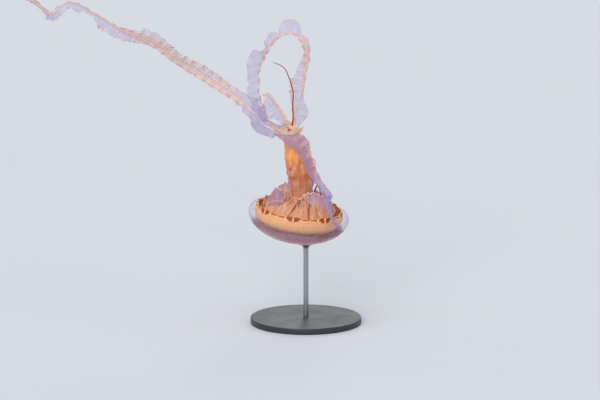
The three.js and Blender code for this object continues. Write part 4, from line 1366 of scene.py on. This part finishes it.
class SEA_NETTLE_OT_arms(bpy.types.Operator):
    """Peels the four arms out of film and sets them trailing"""

    bl_idname = "sea_nettle.arms"
    bl_label = "Arms"

    def execute(self, context):
        c = colours()
        film = film_silicone("Silicone film, lavender, poured", c.film, c.violet,
                             film_alpha=0.2, deep_alpha=0.45, edge_alpha=0.4, threaded=0.6)
        veil = film_silicone("Silicone film, mauve, poured", c.veil, c.veil_deep,
                             film_alpha=0.5, deep_alpha=0.62, edge_alpha=0.15, threaded=0.3)
        self.arm("arm_long", LONG_ARM, 26, film, [f"arm_long_{i}" for i in range(1, 6)])
        self.arm("arm_loop", LOOP_ARM, 34, film, [f"arm_loop_{i}" for i in range(1, 6)])
        self.arm("arm_fan", FAN_ARM, 30, film, ["arm_fan"])
        self.arm("arm_near", NEAR_ARM, 34, veil, ["arm_near_1", "arm_near_2"])
        return {"FINISHED"}

    def arm(self, name, arm, across, finish, nodes):
        """Puts up one arm with the fields that its film reads."""
        length = arm.path.length
        s = sizes()

        def flow(u, v):
            w, far, _ = arm.reach(u, v)
            return u * length * MM, np.sign(w) * far * MM

        def rib(u, v):
            w, far, _ = arm.reach(u, v)
            k = arm.place_at(u)
            half = between(k, arm.ribs)
            return near(np.sign(w) * far, between(k, arm.shift), half) * (half > 0.3)

        def edge(u, v):
            w, far, width = arm.reach(u, v)
            return smoothstep(far, width - 1.8, width - 0.5) * np.where(w < 0, *arm.rims)

        def thick(u, v):
            return np.maximum(s.film / s.rib, near(arm.reach(u, v)[1], 0, 2.0))

        def root(u, v):
            return np.clip(1 - smoothstep(u * length, 8, 60) + arm.warm(arm.place_at(u)), 0, 1)

        fields = {"rib": rib, "edge": edge, "thick": thick, "root": root,
                  "dense": lambda u, v: arm.dense(arm.place_at(u)),
                  "ladder": lambda u, v: arm.ladder(arm.place_at(u))}
        mesh = grid_mesh(name, along=int(length / ARM_STEP), across=across, place=arm.surface,
                         uv=flow, fields=fields)
        walled(piece(name, mesh, finish, nodes), s.rib, "thick")


# Curled strands that the gathered edges make on the arms: the arm, where the strand starts
# and ends along its rib and how far from the rib it runs, all in millimetres, then the
# size and the length of its curls, its radius and a number for its own waves.
STRANDS = [
    ("long", 124, 250, 8, 13, 3.6, 11, 1.0, 1),
    ("long", 150, 330, 12, 8, 3.2, 12, 1.0, 2),
    ("long", 230, 372, 6, 12, 3.8, 15, 1.1, 3),
    ("long", 290, 380, 13, 6, 3.0, 12, 1.0, 4),
    ("long", 350, 392, -8, -12, 3.0, 9, 0.9, 5),
    ("long", 140, 372, 3, 2, 2.2, 17, 1.0, 6),
    ("long", 150, 360, -6, -5, 1.2, 40, 1.0, 11),
    ("long", 180, 372, -2, -1, 1.4, 50, 1.0, 12),
    ("long", 135, 210, 14, 15, 3.4, 9, 0.9, 14),
    ("long", 200, 300, 2, 6, 2.8, 10, 0.9, 15),
    ("loop", 118, 168, -17, -24, 1.8, 9, 0.7, 10),
]


class SEA_NETTLE_OT_strands(bpy.types.Operator):
    """Curls fine strands along the gathered edges of the arms"""

    bl_idname = "sea_nettle.strands"
    bl_label = "Curled strands"

    def execute(self, context):
        c = colours()
        arms = {"long": LONG_ARM, "loop": LOOP_ARM}
        meshes = {"long": [], "loop": []}
        for arm, start, end, near_end, far_end, size, length, radius, number in STRANDS:
            t = np.linspace(0, 1, int((end - start) / 1.3))
            s = start + (end - start) * t
            turn = 2 * np.pi * (s / length + 0.35 * waves(s, 45, 300 + number))
            grown = (size * (0.75 + 0.35 * waves(s, 37, 320 + number))
                     * np.sin(np.pi * t) ** 0.4)
            x = near_end + (far_end - near_end) * t + 1.5 * waves(s, 50, 340 + number)
            knots = arms[arm].on_sheet(s + 0.8 * grown * np.cos(turn),
                                       x + grown * np.sin(turn))
            meshes[arm].append(cord_mesh(f"strand_{number}", knots,
                                         lambda t: radius * (1 - 0.3 * t), sides=6, step=1.0))
        cream = fold_silicone("Silicone rubber, cream, drawn fine", c.strand, c.strand_pale,
                              0.8, 0.95, far=c.frill)
        for arm, parts in meshes.items():
            name = f"arm_{arm}_strands"
            piece(name, joined_mesh(name, parts), cream)
        return {"FINISHED"}


# ---- Long tentacles ---------------------------------------------------------------------

# Each tentacle's radius at its root and at its tip, then the way that it runs, in millimetres.
TRAILING = {
    "tentacle_left": (1.2, 0.75, [
        (-28, -78.1, 11.5), (-25.9, -74.7, 11.3), (-21.1, -68.9, 15), (-15.5, -62.1, 23.6),
        (-10.7, -55, 31.4), (-6.7, -47.5, 38.9), (-2.8, -39.9, 39.7), (1.2, -33, 36.1),
        (5.6, -29, 42.8)]),
    "tentacle_right": (1.1, 0.7, [
        (20.1, -80.5, 11.5), (19.1, -76.7, 12.5), (17.8, -69.8, 16.4), (16.8, -60.7, 25.3),
        (17.1, -51.2, 30), (17.6, -42.5, 33.7), (17.8, -33.6, 40.3)]),
    "tentacle_loop": (1.3, 1.7, [
        (30, 11, 28), (26, 9, 49), (31, 4, 62), (38, -3, 49), (49, -6, 24)]),
    "tentacle_rising": (1.7, 0.7, [
        (-34, 10, 172), (-34, 2, 196), (-38, 2, 222), (-40, 6, 245), (-51, 12, 272),
        (-64, 15, 291), (-86, 18, 299)]),
}


class SEA_NETTLE_OT_long_tentacles(bpy.types.Operator):
    """Draws the four long tentacles"""

    bl_idname = "sea_nettle.long_tentacles"
    bl_label = "Long tentacles"

    def execute(self, context):
        for name, (root, tip, knots) in TRAILING.items():
            # Only the rising one is bright at its root and at its tip.
            glow = self.bright if name == "tentacle_rising" else self.dull
            mesh = cord_mesh(name, knots, lambda t: root + (tip - root) * t, sides=14, step=0.7,
                             glow=glow)
            piece(name, mesh, shared("tentacle", tentacle_silicone), [name])
        return {"FINISHED"}

    def bright(self, t):
        return 0.75 * (1 - smoothstep(t, 0.1, 0.5)) + 0.3 * t

    def dull(self, t):
        return 0.15 + 0 * t


# ---- Stand ------------------------------------------------------------------------------

BASE_RADIUS = 110.0
BASE_HEIGHT = 12.0
# Rings in the base's flat faces, each so far inside the one before.
BASE_RINGS = (1.0, 20.0, 40.0)
BELL_LOWEST = BELL_CENTRE[2] - 56.2
SAUCER_RADIUS = 17.0
SAUCER_FOOT = BELL_LOWEST - 14
SAUCER_HEIGHT = 12.0
# The face of the saucer is spun flat at this height and then fitted under the bell.
SAUCER_FACE = BELL_LOWEST + 4
SAUCER_FACE_RADII = (SAUCER_RADIUS, 16.4, 15, 12, 8, 4, 0)
SAUCER_LIP = 0.25
BELL_GAP = 0.3


def bell_underside(x, y):
    """Height of the bell's lower surface above a point of the base, in millimetres."""
    s = sizes()
    shape = np.diag([MM / s.bell_radius, MM / s.bell_radius, MM / s.bell_depth])
    turn = shape @ np.array(LEAN).T
    start = turn @ (np.array([x, y, 0.0]) - np.array(BELL_CENTRE))
    line = turn @ np.array([0, 0, 1.0])
    a, b, c = line @ line, 2 * start @ line, start @ start - 1
    return (-b - math.sqrt(b * b - 4 * a * c)) / (2 * a)


def spun(name, profile, segments):
    """Spins a profile of radius and height, in millimetres, that starts and ends on the axis."""
    bm = bmesh.new()
    corners = [bm.verts.new((r * MM, 0, z * MM)) for r, z in profile]
    edges = [bm.edges.new(pair) for pair in zip(corners, corners[1:])]
    bmesh.ops.spin(bm, geom=corners + edges, cent=(0, 0, 0), axis=(0, 0, 1), angle=2 * math.pi,
                   steps=segments, use_merge=True)
    bmesh.ops.remove_doubles(bm, verts=bm.verts, dist=MERGE_DISTANCE)
    bmesh.ops.recalc_face_normals(bm, faces=bm.faces)
    mesh = bpy.data.meshes.new(name)
    bm.to_mesh(mesh)
    bm.free()
    return mesh


class SEA_NETTLE_OT_stand(bpy.types.Operator):
    """Turns the painted base and the brushed rod with its saucer"""

    bl_idname = "sea_nettle.stand"
    bl_label = "Stand"

    def execute(self, context):
        s = sizes()
        bm = bmesh.new()
        bmesh.ops.create_cone(bm, cap_ends=True, segments=192, radius1=BASE_RADIUS * MM,
                              radius2=BASE_RADIUS * MM, depth=BASE_HEIGHT * MM)
        bmesh.ops.translate(bm, verts=bm.verts, vec=(0, 0, BASE_HEIGHT * MM / 2))
        rims = [e for e in bm.edges if abs(e.verts[0].co.z - e.verts[1].co.z) < MERGE_DISTANCE]
        bmesh.ops.bevel(bm, geom=rims, offset=s.base_bevel, offset_type="OFFSET", segments=4,
                        profile=0.5, affect="EDGES", material=-1)
        caps = [f for f in bm.faces if len(f.verts) > 4]
        for ring in BASE_RINGS:
            bmesh.ops.inset_region(bm, faces=caps, thickness=ring * MM, use_even_offset=True)
        mesh = bpy.data.meshes.new("stand_base_plate")
        bm.to_mesh(mesh)
        bm.free()
        piece("stand_base_plate", mesh, powder_coat(), ["stand_base"])
        r = s.rod_radius / MM
        profile = [(0, BASE_HEIGHT), (r, BASE_HEIGHT), (r, BASE_HEIGHT + 0.8), (r, 60), (r, 100),
                   (r, 140), (r + 0.2, SAUCER_FOOT)]
        for t in np.linspace(0, 1, 10)[1:]:
            angle = t * math.pi / 2
            profile.append((r + 0.2 + (SAUCER_RADIUS - r - 0.6) * (1 - math.cos(angle)),
                            SAUCER_FOOT + SAUCER_HEIGHT * math.sin(angle)))
        profile.append((SAUCER_RADIUS, BELL_LOWEST - 1.5))
        profile += [(radius, SAUCER_FACE) for radius in SAUCER_FACE_RADII]
        mesh = spun("stand_rod_and_saucer", profile, 96)
        for vertex in mesh.vertices:
            x, y, z = (c / MM for c in vertex.co)
            if z > SAUCER_FACE - 0.1:
                lip = SAUCER_LIP if math.hypot(x, y) > SAUCER_RADIUS - 0.2 else 0.0
                vertex.co.z = (bell_underside(x, y) - BELL_GAP - lip) * MM
        piece("stand_rod_and_saucer", mesh, brushed_steel(), ["stand_rod"])
        return {"FINISHED"}


# ---- Studio -----------------------------------------------------------------------------

LOOK_AT = Vector((-0.0118, 0.0087, 0.2469))
VIEW_WIDTH = 1.188
LENS = 400.0
SENSOR = 36.0
ELEVATION = math.radians(12)
FLOOR_HALF = 25.0
FLOOR_DROP = 0.0002
DAYLIGHT_STRENGTH = 0.68
# A ray may pass through so many layers of film.
FILM_LAYERS = 32
# Each sun's strength, its softness, and its tilt to the front and to the side, in degrees.
SUNS = {"overhead": (1.0, 50, 20, -14), "key": (1.3, 35, 62, -28), "back": (0.5, 30, -58, 20)}


class SEA_NETTLE_OT_stage(bpy.types.Operator):
    """Lays the pale floor and sets the lights and the camera"""

    bl_idname = "sea_nettle.stage"
    bl_label = "Studio"

    def execute(self, context):
        scene = context.scene
        scene.view_settings.view_transform = "Standard"
        scene.cycles.transparent_max_bounces = FILM_LAYERS
        bm = bmesh.new()
        bmesh.ops.create_grid(bm, x_segments=8, y_segments=8, size=FLOOR_HALF)
        mesh = bpy.data.meshes.new("floor")
        bm.to_mesh(mesh)
        bm.free()
        mesh.materials.append(studio_floor())
        floor = self.put("floor", mesh)
        floor.location = (0, 0, -FLOOR_DROP)
        world = bpy.data.worlds.new("Studio")
        world.use_nodes = True
        feed(world.node_tree.nodes["Background"],
             {"Color": colours().daylight, "Strength": DAYLIGHT_STRENGTH})
        scene.world = world
        for name, (strength, softness, front, side) in SUNS.items():
            light = bpy.data.lights.new(name, "SUN")
            light.energy = strength
            light.angle = math.radians(softness)
            self.put(name, light).rotation_euler = (math.radians(front), math.radians(side), 0)
        data = bpy.data.cameras.new("view")
        data.lens = LENS
        data.sensor_width = SENSOR
        data.clip_start = 0.1
        data.clip_end = 100
        away = Vector((0, -math.cos(ELEVATION), math.sin(ELEVATION)))
        camera = self.put("view", data)
        camera.location = LOOK_AT + VIEW_WIDTH * LENS / SENSOR * away
        camera.rotation_euler = (math.pi / 2 - ELEVATION, 0, 0)
        scene.camera = camera
        return {"FINISHED"}

    def put(self, name, data):
        """Puts the floor, a light or the camera in the scene."""
        made = bpy.data.objects.new(name, data)
        bpy.context.scene.collection.objects.link(made)
        return made


# ---- Panel and start --------------------------------------------------------------------

OPERATORS = (
    SEA_NETTLE_OT_stage,
    SEA_NETTLE_OT_stand,
    SEA_NETTLE_OT_bell,
    SEA_NETTLE_OT_body,
    SEA_NETTLE_OT_short_tentacles,
    SEA_NETTLE_OT_mouth_folds,
    SEA_NETTLE_OT_stem,
    SEA_NETTLE_OT_arms,
    SEA_NETTLE_OT_strands,
    SEA_NETTLE_OT_long_tentacles,
)


class SEA_NETTLE_PT_panel(bpy.types.Panel):
    """Sizes, colours and steps of the sea nettle"""

    bl_idname = "SEA_NETTLE_PT_panel"
    bl_label = "Sea nettle"
    bl_space_type = "VIEW_3D"
    bl_region_type = "UI"
    bl_category = "Sea nettle"

    def draw(self, context):
        layout = self.layout
        for group in (context.scene.sea_nettle_sizes, context.scene.sea_nettle_colours):
            box = layout.box()
            for name in group.bl_rna.properties.keys():
                if name not in ("rna_type", "name"):
                    box.prop(group, name)
        for operator in OPERATORS:
            layout.operator(operator.bl_idname)


CLASSES = (SeaNettleSizes, SeaNettleColours) + OPERATORS + (SEA_NETTLE_PT_panel,)


def register():
    for cls in CLASSES:
        bpy.utils.register_class(cls)
    bpy.types.Scene.sea_nettle_sizes = bpy.props.PointerProperty(type=SeaNettleSizes)
    bpy.types.Scene.sea_nettle_colours = bpy.props.PointerProperty(type=SeaNettleColours)


def unregister():
    del bpy.types.Scene.sea_nettle_colours
    del bpy.types.Scene.sea_nettle_sizes
    for cls in reversed(CLASSES):
        bpy.utils.unregister_class(cls)


def main():
    register()
    for operator in OPERATORS:
        group, name = operator.bl_idname.split(".")
        getattr(getattr(bpy.ops, group), name)()


if __name__ == "__main__":
    main()
